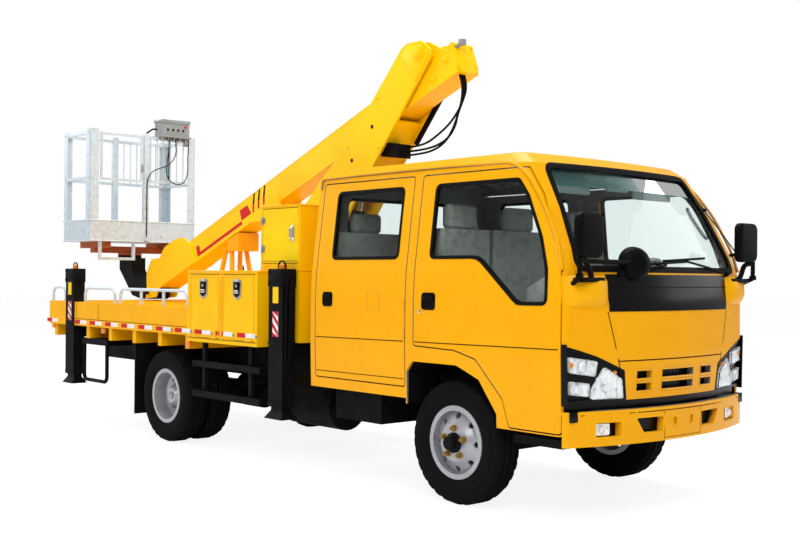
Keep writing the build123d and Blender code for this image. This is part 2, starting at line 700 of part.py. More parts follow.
basket = box((-basket_half, basket_half), basket_y, (basket_floor, basket_floor + 20))
kick_x = (basket_half - 4, basket_half)
for side in (-1, 1):
    basket += box(sorted((side * kick_x[0], side * kick_x[1])), basket_y, (basket_floor, kick_top))
for y in (basket_y[0], basket_y[1] - 4):
    basket += box((-basket_half, basket_half), (y, y + 4), (basket_floor, kick_top))
basket += box(gate_post, (basket_y[0], basket_y[0] + 50), (basket_floor, post_top))
basket += box((-62, -2), (basket_y[1] - 40, basket_y[1]), (basket_floor, post_top))
for z in (top_rail, mid_rail):
    basket += box((gate_post[0], basket_half), (basket_y[0], basket_y[0] + rail_wide), z)
    basket += box((-basket_half, basket_half), (basket_y[1] - rail_wide, basket_y[1]), z)
    for x in (-basket_half, basket_half - rail_wide):
        basket += box((x, x + rail_wide), basket_y, z)
for side in (-1, 1):
    for end in (0, 1):
        square = box(sorted((side * basket_half, side * (basket_half - post_bend))),
                     sorted((basket_y[end], basket_y[end] + (post_bend if end == 0 else -post_bend))),
                     (basket_floor - 5, post_top + 5))
        basket -= square
        basket += angle_post(side, end)
step_y = basket_y[0] + 24
for x in (-480, -110):
    basket += box((x - 14, x + 14), (step_y - 14, step_y + 14), (step_z, basket_floor))
basket += box((-494, -96), (step_y - 14, step_y + 14), (step_z, step_z + 28))
basket += box((0, 48), (basket_y[0] - 24, basket_y[0]), (1735, 1775))
basket += box((258, 294), (basket_y[0] - 16, basket_y[0]), (mid_rail[0] + 5, 2375))
write("basket", basket)
gate_hinge = (-470, basket_y[0] + 21)
gate_x = (gate_hinge[0], gate_post[0] - 12)
gate_y = (gate_hinge[1] - 11, gate_hinge[1] + 11)
gate = rod((*gate_hinge, mid_rail[0]), (*gate_hinge, top_rail[1]), 13)
gate += box((gate_x[1] - 22, gate_x[1]), gate_y, (mid_rail[0], top_rail[1]))
for z in (top_rail[1] - 25, mid_rail[0]):
    gate += box(gate_x, gate_y, (z, z + 22))
write("basket_gate", gate)
controls = box((168, 486), (basket_y[0] - 60, basket_y[0] + 100), (2838, 2975))
controls += box((152, 502), (basket_y[0] - 75, basket_y[0] + 115), (2820, 2838))
controls += box((160, 494), (basket_y[0] - 70, basket_y[0] + 110), (2975, 3005))
write("basket_controls", controls)
beams = Pos(0, basket_middle, 1601) * Cylinder(120, 20)
beams += box((-420, 420), (basket_middle - 50, basket_middle + 50), (1611, 1680))
for x in (-420, 340):
    beams += box((x, x + 80), (basket_y[0] + 60, basket_y[1] - 20), (1660, basket_floor))
write("basket_beams", beams)

# Clamp on the lower boom's front web, and the flat hose guard on its far edge
clamp_face_y = -1130
clamp = side_plate([(clamp_face_y, 2280), (clamp_face_y, 2385), on_lower(1370, 170.6), on_lower(1240, 181.2)], (-115, 5))
guard = side_plate([on_lower(1400, 179.3), on_lower(1400, 215), on_lower(1900, 174), on_lower(1900, 137.9)], (128, 150))
write("hose_guards", clamp, guard)


def route(points, radius):
    # a hose with each bend as wide as its two runs allow
    places = [Vector(*point) for point in points]
    bends = []
    for before, here, after in zip(places, places[1:], places[2:]):
        turn = math.radians((here - before).get_angle(after - here))
        bends.append(0.45 * min((here - before).length, (after - here).length) / math.tan(turn / 2))
    path = FilletPolyline(*points, radius=bends)
    tube = sweep(Plane(origin=path @ 0, z_dir=path % 0) * Circle(radius), path)
    share = tube.volume / (math.pi * radius ** 2 * path.length)
    print("hose", round(path.length), "mm, tightest bend", round(min(bends)), "mm, volume share", round(share, 4))
    return tube


# Three hoses over the knee, each down from the upper boom's end and back to the clamp
hose_radius = 8
hose_start = [on_upper(-235, boom_v[0]), on_upper(-235, boom_v[0] - 80)]
hose_lines = (
    (-52, ((-1730, 2650), (-1690, 2550), (-1642, 2452), (-1565, 2365), (-1442, 2314), (-1285, 2300), (clamp_face_y, 2300))),
    (-30, ((-1722, 2655), (-1668, 2563), (-1645, 2475), (-1570, 2392), (-1440, 2347), (-1285, 2332), (clamp_face_y, 2332))),
    (-8, ((-1705, 2665), (-1645, 2580), (-1560, 2500), (-1440, 2432), (-1288, 2368), (clamp_face_y, 2368))),
)
hoses = []
for x, line in hose_lines:
    hoses.append(route([(x, y, z) for y, z in hose_start + list(line)], hose_radius))
write("knee_hoses", hoses)

# Cables from the basket's control box: one down the gate post, a slack loop and a straight one
cable_radius = 5
main_cable = [(345, 2925, 2820), (345, 2925, 2755), (356, 2925, 2680), (325, 2925, 2590), (245, 2925, 2520),
              (150, 2925, 2490), (70, 2929, 2450), (26, 2936, 2370), (24, 2938, 2270), (24, 2938, 1775)]
loop_cable = [(262, 2911, 2820), (262, 2911, 2740), (252, 2911, 2640), (236, 2911, 2540), (232, 2911, 2440),
              (268, 2911, 2365), (350, 2911, 2330), (430, 2911, 2348), (478, 2911, 2420), (488, 2911, 2520),
              (482, 2911, 2620), (492, 2911, 2720), (492, 2911, 2820)]
cables = [route(main_cable, cable_radius), route(loop_cable, cable_radius),
          rod((276, 2939, 2820), (276, 2939, 2375), cable_radius)]
write("basket_cables", cables)

# Tanks and boxes under the frame, ahead of the rear wheels
tanks = [box((-840, -430), (-1800, -1320), (420, 690)), box((430, 840), (-1750, -1300), (430, 690)),
         rod((-620, -1180, 470), (-620, -590, 470), 175), rod((620, -1180, 500), (620, -590, 500), 140)]
straps = []
for tank_side, y in ((-1, -1700), (-1, -1420), (1, -1650), (1, -1400)):
    straps.append(box(sorted((tank_side * frame_half, tank_side * 430)), (y - 25, y + 25), (600, 680)))
tanks[0] += straps[0] + straps[1]
tanks[1] += straps[2] + straps[3]
for y in (-1000, -760):
    tanks[2] += box((-530, -frame_half), (y - 25, y + 25), (580, 620))
    tanks[3] += box((frame_half, 550), (y - 25, y + 25), (580, 620))
write("underbody_tanks", tanks)

# Side guards, mud flaps and steps
guards = []
guard_y = (-560, 380)
guard_part = box((-960, -935), guard_y, (430, 480)) + box((-960, -935), guard_y, (668, 714))
for y in (-400, 250):
    guard_part += box((-935, -905), (y - 20, y + 20), (430, locker_z[0]))
guards += pair(guard_part)
flap = box((-950, -480), (1335, 1350), (190, 760)) + box((-950, -frame_half), (1335, 1375), (745, subframe_high))
guards += pair(flap)
ladder_step = hoop([(-930, 1900, 760), (-930, 1900, 415), (-930, 2350, 415), (-930, 2350, 760)], 17, 50)
ladder_step += box((-947, -frame_half), (1870, 2380), (744, subframe_high))
guards += pair(ladder_step)
cab_step = box((-880, -700), (-3370, -3010), (452, 500)) + box((-720, -frame_half), (-3330, -3290), (600, 640))
cab_step += box((-740, -700), (-3330, -3290), (452, 640))
guards += pair(cab_step)
write("guards_and_steps", guards)

# Lamps: headlamps, fog lamps, column beacons, side markers and rear lamps
lamps = pair(headlamp)
lamps += pair(box((-700, -580), (-3440, -3400), (520, 581)))
for y in (sum(front_column_y) / 2, sum(rear_column_y) / 2):
    for x in (-930, 930):
        lamps.append(rod((x, y, column_z[1]), (x, y, column_z[1] + 40), 27))
lamps += pair(box((-body_half - 8, -body_half), (900, 960), (deck_top - 60, deck_top - 35)))
lamps += pair(box((-940, -680), (deck_rear, deck_rear + 30), (920, 1010)))
write("lamps", lamps)
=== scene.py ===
import bpy
import bmesh
import math
from mathutils import Matrix, Vector


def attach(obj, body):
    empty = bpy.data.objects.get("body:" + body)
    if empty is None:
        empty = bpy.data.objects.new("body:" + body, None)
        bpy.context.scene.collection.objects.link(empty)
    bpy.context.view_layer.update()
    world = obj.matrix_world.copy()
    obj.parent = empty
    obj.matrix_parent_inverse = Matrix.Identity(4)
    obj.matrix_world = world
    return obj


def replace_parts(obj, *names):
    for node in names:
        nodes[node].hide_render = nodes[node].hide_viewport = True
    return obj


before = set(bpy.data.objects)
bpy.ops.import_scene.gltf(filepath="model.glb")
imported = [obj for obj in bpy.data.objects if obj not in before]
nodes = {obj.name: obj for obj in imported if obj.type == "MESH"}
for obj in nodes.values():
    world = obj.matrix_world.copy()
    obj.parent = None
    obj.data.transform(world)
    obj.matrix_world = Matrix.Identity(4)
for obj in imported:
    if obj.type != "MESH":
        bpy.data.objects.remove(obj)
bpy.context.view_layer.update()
scene = bpy.context.scene
print("frame loaded:", len(nodes), "nodes")

view = {"place": (-5.5691, -7.2991, 1.3975), "yaw": 41.6, "pitch": -0.1, "roll": 0.5, "lens": 49.65}
lights = {
    "key": {"place": (-7.0, -7.5, 7.5), "aim": (0, -1.0, 1.2), "power": 525, "size": 5.0},
    "fill": {"place": (7.5, -6.5, 4.5), "aim": (0, -1.5, 1.2), "power": 165, "size": 5.0},
    "top": {"place": (0.5, 0.5, 9.0), "aim": (0, 0.5, 0), "power": 850, "size": 7.0},
    "back": {"place": (-4.0, 8.5, 5.5), "aim": (0, 1.0, 1.2), "power": 245, "size": 5.0},
}
softLight = 0.43


def turnedTo(direction, roll=0):
    facing = direction.to_track_quat("-Z", "Y").to_matrix().to_4x4()
    return facing @ Matrix.Rotation(math.radians(roll), 4, "Z")


def setCamera():
    yaw, pitch = math.radians(view["yaw"]), math.radians(view["pitch"])
    forward = Vector((math.sin(yaw) * math.cos(pitch), math.cos(yaw) * math.cos(pitch), math.sin(pitch)))
    data = bpy.data.cameras.new("camera")
    data.lens, data.sensor_width, data.clip_end = view["lens"], 36, 100
    camera = bpy.data.objects.new("camera", data)
    camera.matrix_world = Matrix.Translation(view["place"]) @ turnedTo(forward, view["roll"])
    scene.collection.objects.link(camera)
    scene.camera = camera


def setLights():
    for name, lamp in lights.items():
        data = bpy.data.lights.new(name, "AREA")
        data.energy, data.size = lamp["power"], lamp["size"]
        light = bpy.data.objects.new(name, data)
        place = Vector(lamp["place"])
        light.matrix_world = Matrix.Translation(place) @ turnedTo(Vector(lamp["aim"]) - place)
        scene.collection.objects.link(light)
    world = bpy.data.worlds.new("studio")
    world.use_nodes = True
    tree = world.node_tree
    tree.nodes.clear()
    out = tree.nodes.new("ShaderNodeOutputWorld")
    soft, white = tree.nodes.new("ShaderNodeBackground"), tree.nodes.new("ShaderNodeBackground")
    soft.inputs["Color"].default_value = (0.95, 0.97, 1, 1)
    soft.inputs["Strength"].default_value = softLight
    white.inputs["Color"].default_value = (1, 1, 1, 1)
    path = tree.nodes.new("ShaderNodeLightPath")
    either = tree.nodes.new("ShaderNodeMath")
    either.operation = "MAXIMUM"
    tree.links.new(path.outputs["Is Camera Ray"], either.inputs[0])
    tree.links.new(path.outputs["Is Transmission Ray"], either.inputs[1])
    mix = tree.nodes.new("ShaderNodeMixShader")
    tree.links.new(either.outputs[0], mix.inputs[0])
    tree.links.new(soft.outputs[0], mix.inputs[1])
    tree.links.new(white.outputs[0], mix.inputs[2])
    tree.links.new(mix.outputs[0], out.inputs["Surface"])
    scene.world = world
    scene.view_settings.view_transform = "Standard"


setCamera()
setLights()

inks = {
    "yellow": (0.92, 0.42, 0.001),
    "shadeYellow": (0.84, 0.32, 0.001),
    "black": (0.004, 0.004, 0.0045),
    "rubber": (0.005, 0.005, 0.005),
    "dust": (0.1, 0.09, 0.075),
    "red": (0.62, 0.008, 0.01),
    "white": (0.86, 0.86, 0.84),
}


def breakupGroup():
    # blotches, fine grain and dust that gathers low down, shared by every finish
    group = bpy.data.node_groups.new("surfaceBreakup", "ShaderNodeTree")
    face = group.interface
    for name, value in (("Blotch scale", 3.0), ("Grain scale", 400.0), ("Dust height", 0.9)):
        socket = face.new_socket(name, in_out="INPUT", socket_type="NodeSocketFloat")
        socket.default_value = value
    for name in ("Blotch", "Grain", "Dust"):
        face.new_socket(name, in_out="OUTPUT", socket_type="NodeSocketFloat")
    new, link = group.nodes.new, group.links.new
    given, result = new("NodeGroupInput"), new("NodeGroupOutput")
    place = new("ShaderNodeTexCoord")
    blotch, grain = new("ShaderNodeTexNoise"), new("ShaderNodeTexNoise")
    blotch.inputs["Detail"].default_value = 5
    grain.inputs["Detail"].default_value = 2
    for noise, scale, out in ((blotch, "Blotch scale", "Blotch"), (grain, "Grain scale", "Grain")):
        link(place.outputs["Object"], noise.inputs["Vector"])
        link(given.outputs[scale], noise.inputs["Scale"])
        link(noise.outputs["Fac"], result.inputs[out])
    split, low, rough = new("ShaderNodeSeparateXYZ"), new("ShaderNodeMath"), new("ShaderNodeMath")
    link(place.outputs["Object"], split.inputs[0])
    low.operation, low.use_clamp = "DIVIDE", True
    link(split.outputs["Z"], low.inputs[0])
    link(given.outputs["Dust height"], low.inputs[1])
    rough.operation, rough.use_clamp = "SUBTRACT", True
    link(blotch.outputs["Fac"], rough.inputs[0])
    link(low.outputs[0], rough.inputs[1])
    link(rough.outputs[0], result.inputs["Dust"])
    return group


def liningAndShadeGroup():
    # the cab's inner faces are trimmed in grey, and what lies low between the wheels is painted black:
    # painted shade under the cab
    group = bpy.data.node_groups.new("cabLiningAndShade", "ShaderNodeTree")
    face = group.interface
    face.new_socket("Inside", in_out="OUTPUT", socket_type="NodeSocketFloat")
    face.new_socket("TrimAndShadeColour", in_out="OUTPUT", socket_type="NodeSocketColor")
    new, link = group.nodes.new, group.links.new
    result, place, shape = new("NodeGroupOutput"), new("ShaderNodeTexCoord"), new("ShaderNodeNewGeometry")
    away, facing, inside, split = (new("ShaderNodeVectorMath"), new("ShaderNodeVectorMath"),
                                   new("ShaderNodeMath"), new("ShaderNodeSeparateXYZ"))
    away.operation, facing.operation, inside.operation = "SUBTRACT", "DOT_PRODUCT", "LESS_THAN"
    link(place.outputs["Object"], away.inputs[0])
    away.inputs[1].default_value = (0, -2.25, 1.45)
    link(away.outputs[0], facing.inputs[0])
    link(shape.outputs["True Normal"], facing.inputs[1])
    link(facing.outputs["Value"], inside.inputs[0])
    inside.inputs[1].default_value = 0
    link(place.outputs["Object"], split.inputs[0])
    wide, narrow, low, under, both, either = [new("ShaderNodeMath") for i in range(6)]
    wide.operation, narrow.operation, low.operation = "ABSOLUTE", "LESS_THAN", "LESS_THAN"
    link(split.outputs["X"], wide.inputs[0])
    link(wide.outputs[0], narrow.inputs[0])
    narrow.inputs[1].default_value = 0.878
    link(split.outputs["Z"], low.inputs[0])
    low.inputs[1].default_value = 0.925
    both.operation, either.operation, under.operation = "MULTIPLY", "MAXIMUM", "GREATER_THAN"
    link(split.outputs["Y"], under.inputs[0])
    under.inputs[1].default_value = -3.36
    # painted shade mask: low down between the wheels, behind the nose
    paintedShadeBelow = new("ShaderNodeMath")
    paintedShadeBelow.operation = "MULTIPLY"
    link(narrow.outputs[0], both.inputs[0])
    link(low.outputs[0], both.inputs[1])
    link(both.outputs[0], paintedShadeBelow.inputs[0])
    link(under.outputs[0], paintedShadeBelow.inputs[1])
    link(inside.outputs[0], either.inputs[0])
    link(paintedShadeBelow.outputs[0], either.inputs[1])
    link(either.outputs[0], result.inputs["Inside"])
    grain, shades = new("ShaderNodeTexNoise"), new("ShaderNodeMix")
    grain.inputs["Scale"].default_value = 35
    link(place.outputs["Object"], grain.inputs["Vector"])
    shades.data_type = "RGBA"
    link(paintedShadeBelow.outputs[0], shades.inputs[0])
    tone = new("ShaderNodeValToRGB")
    tone.color_ramp.elements[0].color = (0.13, 0.135, 0.135, 1)
    tone.color_ramp.elements[1].color = (0.24, 0.245, 0.24, 1)
    link(grain.outputs["Fac"], tone.inputs["Fac"])
    link(tone.outputs["Color"], shades.inputs[6])
    # black of the painted shade low between the wheels
    shades.inputs[7].default_value = (0.006, 0.006, 0.006, 1)
    link(shades.outputs[2], result.inputs["TrimAndShadeColour"])
    return group


breakup = breakupGroup()
liningAndShade = liningAndShadeGroup()
finishes = {}


def finish(name, ink, shade=None, rough=0.4, metal=0.0, coat=0.0, grain=400.0, bump=0.02, blotch=3.0,
           mottle=0.25, dust=0.0, roughSpread=0.12, dustHeight=0.9, gloss=0.3, linedAndShaded=False):
    # a material: ink mottled with shade, dust low down, roughness and bump from the grain
    material = bpy.data.materials.new(name)
    material.use_nodes = True
    tree = material.node_tree
    new, link = tree.nodes.new, tree.links.new
    skin = tree.nodes["Principled BSDF"]
    skin.inputs["Metallic"].default_value = metal
    skin.inputs["Coat Weight"].default_value = coat
    skin.inputs["Coat Roughness"].default_value = 0.06
    skin.inputs["Specular IOR Level"].default_value = gloss
    wear = new("ShaderNodeGroup")
    wear.node_tree = breakup
    wear.inputs["Blotch scale"].default_value = blotch
    wear.inputs["Grain scale"].default_value = grain
    wear.inputs["Dust height"].default_value = dustHeight
    shade = shade or tuple(c * 0.72 for c in ink)
    ramp = new("ShaderNodeValToRGB")
    low, high = ramp.color_ramp.elements
    low.position, high.position = 0.3, 0.3 + 0.6 / max(mottle, 0.05) * 0.25
    low.color = (*[a + (b - a) * (1 - mottle) for a, b in zip(shade, ink)], 1)
    high.color = (*ink, 1)
    link(wear.outputs["Blotch"], ramp.inputs["Fac"])
    colour = ramp.outputs["Color"]
    if dust:
        settle, amount = new("ShaderNodeMix"), new("ShaderNodeMath")
        settle.data_type = "RGBA"
        amount.operation, amount.use_clamp = "MULTIPLY", True
        amount.inputs[1].default_value = dust
        link(wear.outputs["Dust"], amount.inputs[0])
        link(amount.outputs[0], settle.inputs[0])
        link(colour, settle.inputs[6])
        settle.inputs[7].default_value = (*inks["dust"], 1)
        colour = settle.outputs[2]
    # grey trim on inner faces, and painted black shade low between the wheels
    if linedAndShaded:
        trim, cover = new("ShaderNodeGroup"), new("ShaderNodeMix")
        trim.node_tree = liningAndShade
        cover.data_type = "RGBA"
        link(trim.outputs["Inside"], cover.inputs[0])
        link(colour, cover.inputs[6])
        link(trim.outputs["TrimAndShadeColour"], cover.inputs[7])
        colour = cover.outputs[2]
    link(colour, skin.inputs["Base Color"])
    sheen = new("ShaderNodeMapRange")
    sheen.inputs["To Min"].default_value = max(rough - roughSpread, 0.02)
    sheen.inputs["To Max"].default_value = min(rough + roughSpread, 1)
    link(wear.outputs["Blotch"], sheen.inputs["Value"])
    link(sheen.outputs["Result"], skin.inputs["Roughness"])
    relief = new("ShaderNodeBump")
    relief.inputs["Strength"].default_value = bump
    relief.inputs["Distance"].default_value = 0.002
    link(wear.outputs["Grain"], relief.inputs["Height"])
    link(relief.outputs["Normal"], skin.inputs["Normal"])
    finishes[name] = material
    return material


def glassFinish(name, tint, rough=0.01):
    material = bpy.data.materials.new(name)
    material.use_nodes = True
    tree = material.node_tree
    skin = tree.nodes["Principled BSDF"]
    skin.inputs["Base Color"].default_value = (*tint, 1)
    skin.inputs["Transmission Weight"].default_value = 1
    skin.inputs["IOR"].default_value = 1.12
    noise, spread = tree.nodes.new("ShaderNodeTexNoise"), tree.nodes.new("ShaderNodeMapRange")
    place = tree.nodes.new("ShaderNodeTexCoord")
    tree.links.new(place.outputs["Object"], noise.inputs["Vector"])
    noise.inputs["Scale"].default_value = 2.5
    spread.inputs["To Min"].default_value, spread.inputs["To Max"].default_value = rough, rough + 0.03
    tree.links.new(noise.outputs["Fac"], spread.inputs["Value"])
    tree.links.new(spread.outputs["Result"], skin.inputs["Roughness"])
    finishes[name] = material
    return material


cabPaint = finish("cabPaint", inks["yellow"], inks["shadeYellow"], rough=0.28, coat=0.05, bump=0.015,
                  grain=260, mottle=0.3, gloss=0.1, linedAndShaded=True)
bodyPaint = finish("bodyPaint", (0.93, 0.45, 0.001), inks["shadeYellow"], rough=0.4, coat=0.03, bump=0.03,
                   grain=320, blotch=5, mottle=0.4, gloss=0.1)
# the lockers' yellow is the same paint made lighter: painted light for the stronger light on the lockers
litLockerPaint = finish("litLockerPaint", (0.94, 0.55, 0.001), inks["yellow"], rough=0.38, coat=0.04, bump=0.03,
                     grain=320, blotch=4, mottle=0.4, gloss=0.1)
# the boom's and cabinet door's yellow is the same paint made lighter still: painted light, mottled back to
# the plain yellow
litBoomPaint = finish("litBoomPaint", (0.95, 0.64, 0.001), (0.93, 0.45, 0.001), rough=0.36, coat=0.04, bump=0.03,
                   grain=300, blotch=1.2, mottle=0.7, gloss=0.1)
# the beams under the basket: the yellow paint darkened to orange, painted shade
shadedBeamPaint = finish("shadedBeamPaint", (0.4, 0.085, 0.018), (0.25, 0.05, 0.01), rough=0.55, bump=0.05,
                     mottle=0.6, blotch=9)
blackPaint = finish("blackPaint", inks["black"], (0.012, 0.011, 0.01), rough=0.5, bump=0.05, mottle=0.5,
                    dust=0.06, blotch=6, gloss=0.05)
chassisPaint = finish("chassisPaint", (0.004, 0.004, 0.004), (0.012, 0.011, 0.01), rough=0.6, bump=0.12,
                      grain=180, mottle=0.6, dust=0.06, blotch=7, gloss=0.05)
castIron = finish("castIron", (0.03, 0.03, 0.03), (0.015, 0.014, 0.013), rough=0.62, metal=0.4, bump=0.3,
                  grain=150, dust=0.2, gloss=0.2)
blackPlastic = finish("blackPlastic", (0.004, 0.004, 0.004), rough=0.45, bump=0.12, grain=700, mottle=0.3,
                      gloss=0.04)
glossBlack = finish("glossBlack", (0.002, 0.002, 0.0025), rough=0.22, bump=0.0, mottle=0.2, roughSpread=0.05,
                    gloss=0.15)
# dark colour of panel joints, and of the painted shade in door creases and boom holes
seamAndShadeInk = finish("seamAndShadeInk", (0.05, 0.012, 0.003), rough=0.7, bump=0.02, gloss=0.05)
trimPlastic = finish("trimPlastic", (0.3, 0.32, 0.32), (0.2, 0.21, 0.21), rough=0.55, bump=0.2, grain=500,
                     mottle=0.5)
seatCloth = finish("seatCloth", (0.34, 0.34, 0.32), (0.2, 0.2, 0.19), rough=0.85, bump=0.5, grain=900,
                   mottle=0.7, blotch=20, gloss=0.1)
rubberSeal = finish("rubberSeal", (0.003, 0.003, 0.003), rough=0.6, bump=0.05, grain=600, gloss=0.08)
tyreRubber = finish("tyreRubber", inks["rubber"], (0.006, 0.0058, 0.0055), rough=0.75, bump=0.25, grain=320,
                    mottle=0.6, dust=0.03, dustHeight=0.7, gloss=0.05)
rimSilver = finish("rimSilver", (0.42, 0.43, 0.46), (0.28, 0.285, 0.3), rough=0.34, metal=0.5, bump=0.04,
                   mottle=0.5, blotch=8)
zincSteel = finish("zincSteel", (0.6, 0.68, 0.73), (0.41, 0.46, 0.49), rough=0.45, metal=0.3, bump=0.06,
                   grain=90, blotch=28, mottle=0.55)
brass = finish("brass", (0.42, 0.27, 0.07), (0.2, 0.13, 0.04), rough=0.35, metal=0.7, bump=0.1, mottle=0.5,
               blotch=60)
chrome = finish("chrome", (0.72, 0.73, 0.75), (0.6, 0.61, 0.62), rough=0.09, metal=1, bump=0.01,
                roughSpread=0.05)
steel = finish("steel", (0.4, 0.41, 0.42), (0.26, 0.26, 0.26), rough=0.35, metal=0.9, bump=0.1, mottle=0.5,
               blotch=30)
lampSilver = finish("lampSilver", (0.9, 0.92, 0.93), (0.45, 0.47, 0.5), rough=0.15, metal=0.35, bump=0.5,
                    grain=60, blotch=30, mottle=0.9)
amber = finish("amber", (0.9, 0.25, 0.008), (0.5, 0.1, 0.005), rough=0.18, coat=0.3, bump=0.3, grain=220)
redLens = finish("redLens", inks["red"], rough=0.18, coat=0.3, bump=0.3, grain=220)
redTape = finish("redTape", inks["red"], rough=0.4, bump=0.15, grain=500, mottle=0.4, blotch=40, gloss=0.15)
whiteTape = finish("whiteTape", inks["white"], (0.6, 0.6, 0.58), rough=0.4, bump=0.15, grain=500, mottle=0.5,
                   blotch=40)
yellowTape = finish("yellowTape", (0.97, 0.62, 0.01), rough=0.4, bump=0.15, grain=500, mottle=0.3, blotch=40,
                    gloss=0.15)
clearGlass = glassFinish("clearGlass", (0.86, 0.92, 0.91))
lensGlass = glassFinish("lensGlass", (0.98, 0.99, 0.99), rough=0.03)
tintGlass = glassFinish("tintGlass", (0.2, 0.5, 0.47))

nodeFinishes = {
    "chassis_frame": chassisPaint, "engine_and_gearbox": castIron, "front_axle": chassisPaint,
    "rear_axle": chassisPaint, "knuckle_right": castIron, "knuckle_left": castIron,
    "underbody_tanks": chassisPaint, "guards_and_steps": blackPaint, "cab_shell": cabPaint,
    "cab_nose": cabPaint, "front_bumper": cabPaint, "cab_glass": clearGlass, "cab_interior": seatCloth,
    "mirrors": blackPlastic, "deck": bodyPaint, "deck_handrails": zincSteel, "lockers": litLockerPaint,
    "cabinet_door": litBoomPaint, "outrigger_frames": blackPaint, "boom_rest": bodyPaint,
    "slewing_base": blackPaint, "turret": bodyPaint, "upper_boom": litBoomPaint, "lower_boom": litBoomPaint,
    "boom_side_plates": litBoomPaint, "hose_guards": blackPlastic, "knee_hoses": rubberSeal,
    "basket_cables": rubberSeal, "lift_cylinder_barrel": blackPaint, "lift_cylinder_rod": chrome,
    "levelling_arm": blackPaint, "basket": zincSteel, "basket_gate": zincSteel,
    "basket_controls": trimPlastic, "basket_beams": shadedBeamPaint, "lamps": lampSilver,
}
for place in ("front", "rear"):
    for hand in ("right", "left"):
        nodeFinishes[f"{place}_door_{hand}"] = cabPaint
        nodeFinishes[f"{place}_door_glass_{hand}"] = clearGlass
        nodeFinishes[f"locker_door_{place}_{hand}"] = litLockerPaint
        nodeFinishes[f"jack_leg_{place}_{hand}"] = blackPaint
for hand in ("right", "left"):
    nodeFinishes[f"front_rim_{hand}"] = rimSilver
    nodeFinishes[f"rear_rims_{hand}"] = rimSilver
    nodeFinishes[f"front_tyre_{hand}"] = tyreRubber
    nodeFinishes[f"rear_tyres_{hand}"] = tyreRubber
for name, material in nodeFinishes.items():
    data = nodes[name].data
    data.materials.clear()
    data.materials.append(material)
print("materials:", len(finishes))


def addBlock(bm, low, high, bevel=0.004, segments=2):
    middle = [(a + b) / 2 for a, b in zip(low, high)]
    size = [abs(b - a) for a, b in zip(low, high)]
    made = bmesh.ops.create_cube(bm, size=1, matrix=Matrix.Translation(middle) @ Matrix.Diagonal((*size, 1)))
    return softened(bm, made["verts"], bevel, segments)


def softened(bm, verts, bevel, segments=2):
    if not bevel:
        return list(verts)
    edges = list({e for v in verts for e in v.link_edges})
    kept = set(verts)
    made = bmesh.ops.bevel(bm, geom=edges, offset=bevel, segments=segments, affect="EDGES", profile=0.5,
                           material=-1, clamp_overlap=True)
    return [v for v in kept if v.is_valid] + list(made["verts"])


def addRod(bm, start, end, radius, sides=20, bevel=0):
    start, end = Vector(start), Vector(end)
    way = end - start
    turn = way.to_track_quat("Z", "Y").to_matrix().to_4x4()
    made = bmesh.ops.create_cone(bm, cap_ends=True, segments=sides, radius1=radius, radius2=radius,
                                 depth=way.length,
                                 matrix=Matrix.Translation((start + end) / 2) @ turn)
    if bevel:
        edges = {e for v in made["verts"] for e in v.link_edges}
        rims = [e for e in edges if any(len(f.verts) > 4 for f in e.link_faces)]
        bmesh.ops.bevel(bm, geom=rims, offset=bevel, segments=2, affect="EDGES", profile=0.5, material=-1)
    return made["verts"]


def addPlate(bm, corners, depth, bevel=0.002):
    # corners go round in order in space; depth is a vector
    verts = [bm.verts.new(c) for c in corners]
    face = bm.faces.new(verts)
    made = bmesh.ops.extrude_face_region(bm, geom=[face])
    moved = [v for v in made["geom"] if isinstance(v, bmesh.types.BMVert)]
    bmesh.ops.translate(bm, verts=moved, vec=depth)
    allVerts = verts + moved
    bmesh.ops.recalc_face_normals(bm, faces=list({f for v in allVerts for f in v.link_faces}))
    return softened(bm, allVerts, bevel)


def addLathe(bm, profile, centre, way, steps=48):
    # profile: (along the axis, radius) pairs, turned about the axis through centre along way
    way = Vector(way).normalized()
    side = way.orthogonal().normalized()
    verts = [bm.verts.new(Vector(centre) + way * along + side * radius) for along, radius in profile]
    edges = [bm.edges.new(two) for two in zip(verts, verts[1:])]
    if (Vector(profile[0]) - Vector(profile[-1])).length > 1e-6 and min(profile[0][1], profile[-1][1]) > 1e-5:
        edges.append(bm.edges.new((verts[-1], verts[0])))
    before = set(bm.faces)
    bmesh.ops.spin(bm, geom=verts + edges, cent=centre, axis=way, angle=2 * math.pi, steps=steps,
                   use_merge=True)
    made = [f for f in bm.faces if f not in before]
    bmesh.ops.remove_doubles(bm, verts=list({v for f in made for v in f.verts}), dist=1e-6)
    made = [f for f in bm.faces if f not in before]
    bmesh.ops.recalc_face_normals(bm, faces=made)
    return list({v for f in made for v in f.verts})


def rounded(points, bend, steps=5, closed=True):
    # the points with each corner turned into an arc
    points = [Vector(p) for p in points]
    out = []
    count = len(points)
    for i, here in enumerate(points):
        if not closed and i in (0, count - 1):
            out.append(here)
            continue
        before, after = points[i - 1], points[(i + 1) % count]
        a, b = before - here, after - here
        reach = min(bend, a.length * 0.49, b.length * 0.49)
        first, last = here + a.normalized() * reach, here + b.normalized() * reach
        for step in range(steps + 1):
            t = step / steps
            out.append(first * (1 - t) ** 2 + here * 2 * t * (1 - t) + last * t * t)
    return out


def addTube(bm, points, radius, closed=False, sides=10):
    curve = bpy.data.curves.new("path", "CURVE")
    curve.dimensions = "3D"
    spline = curve.splines.new("POLY")
    spline.points.add(len(points) - 1)
    for knot, point in zip(spline.points, points):
        knot.co = (*point, 1)
    spline.use_cyclic_u = closed
    curve.bevel_depth, curve.bevel_resolution, curve.use_fill_caps = radius, max(1, sides // 4), not closed
    holder = bpy.data.objects.new("path", curve)
    scene.collection.objects.link(holder)
    mesh = bpy.data.meshes.new_from_object(holder)
    bm.from_mesh(mesh)
    bpy.data.objects.remove(holder)
    bpy.data.curves.remove(curve)
    bpy.data.meshes.remove(mesh)


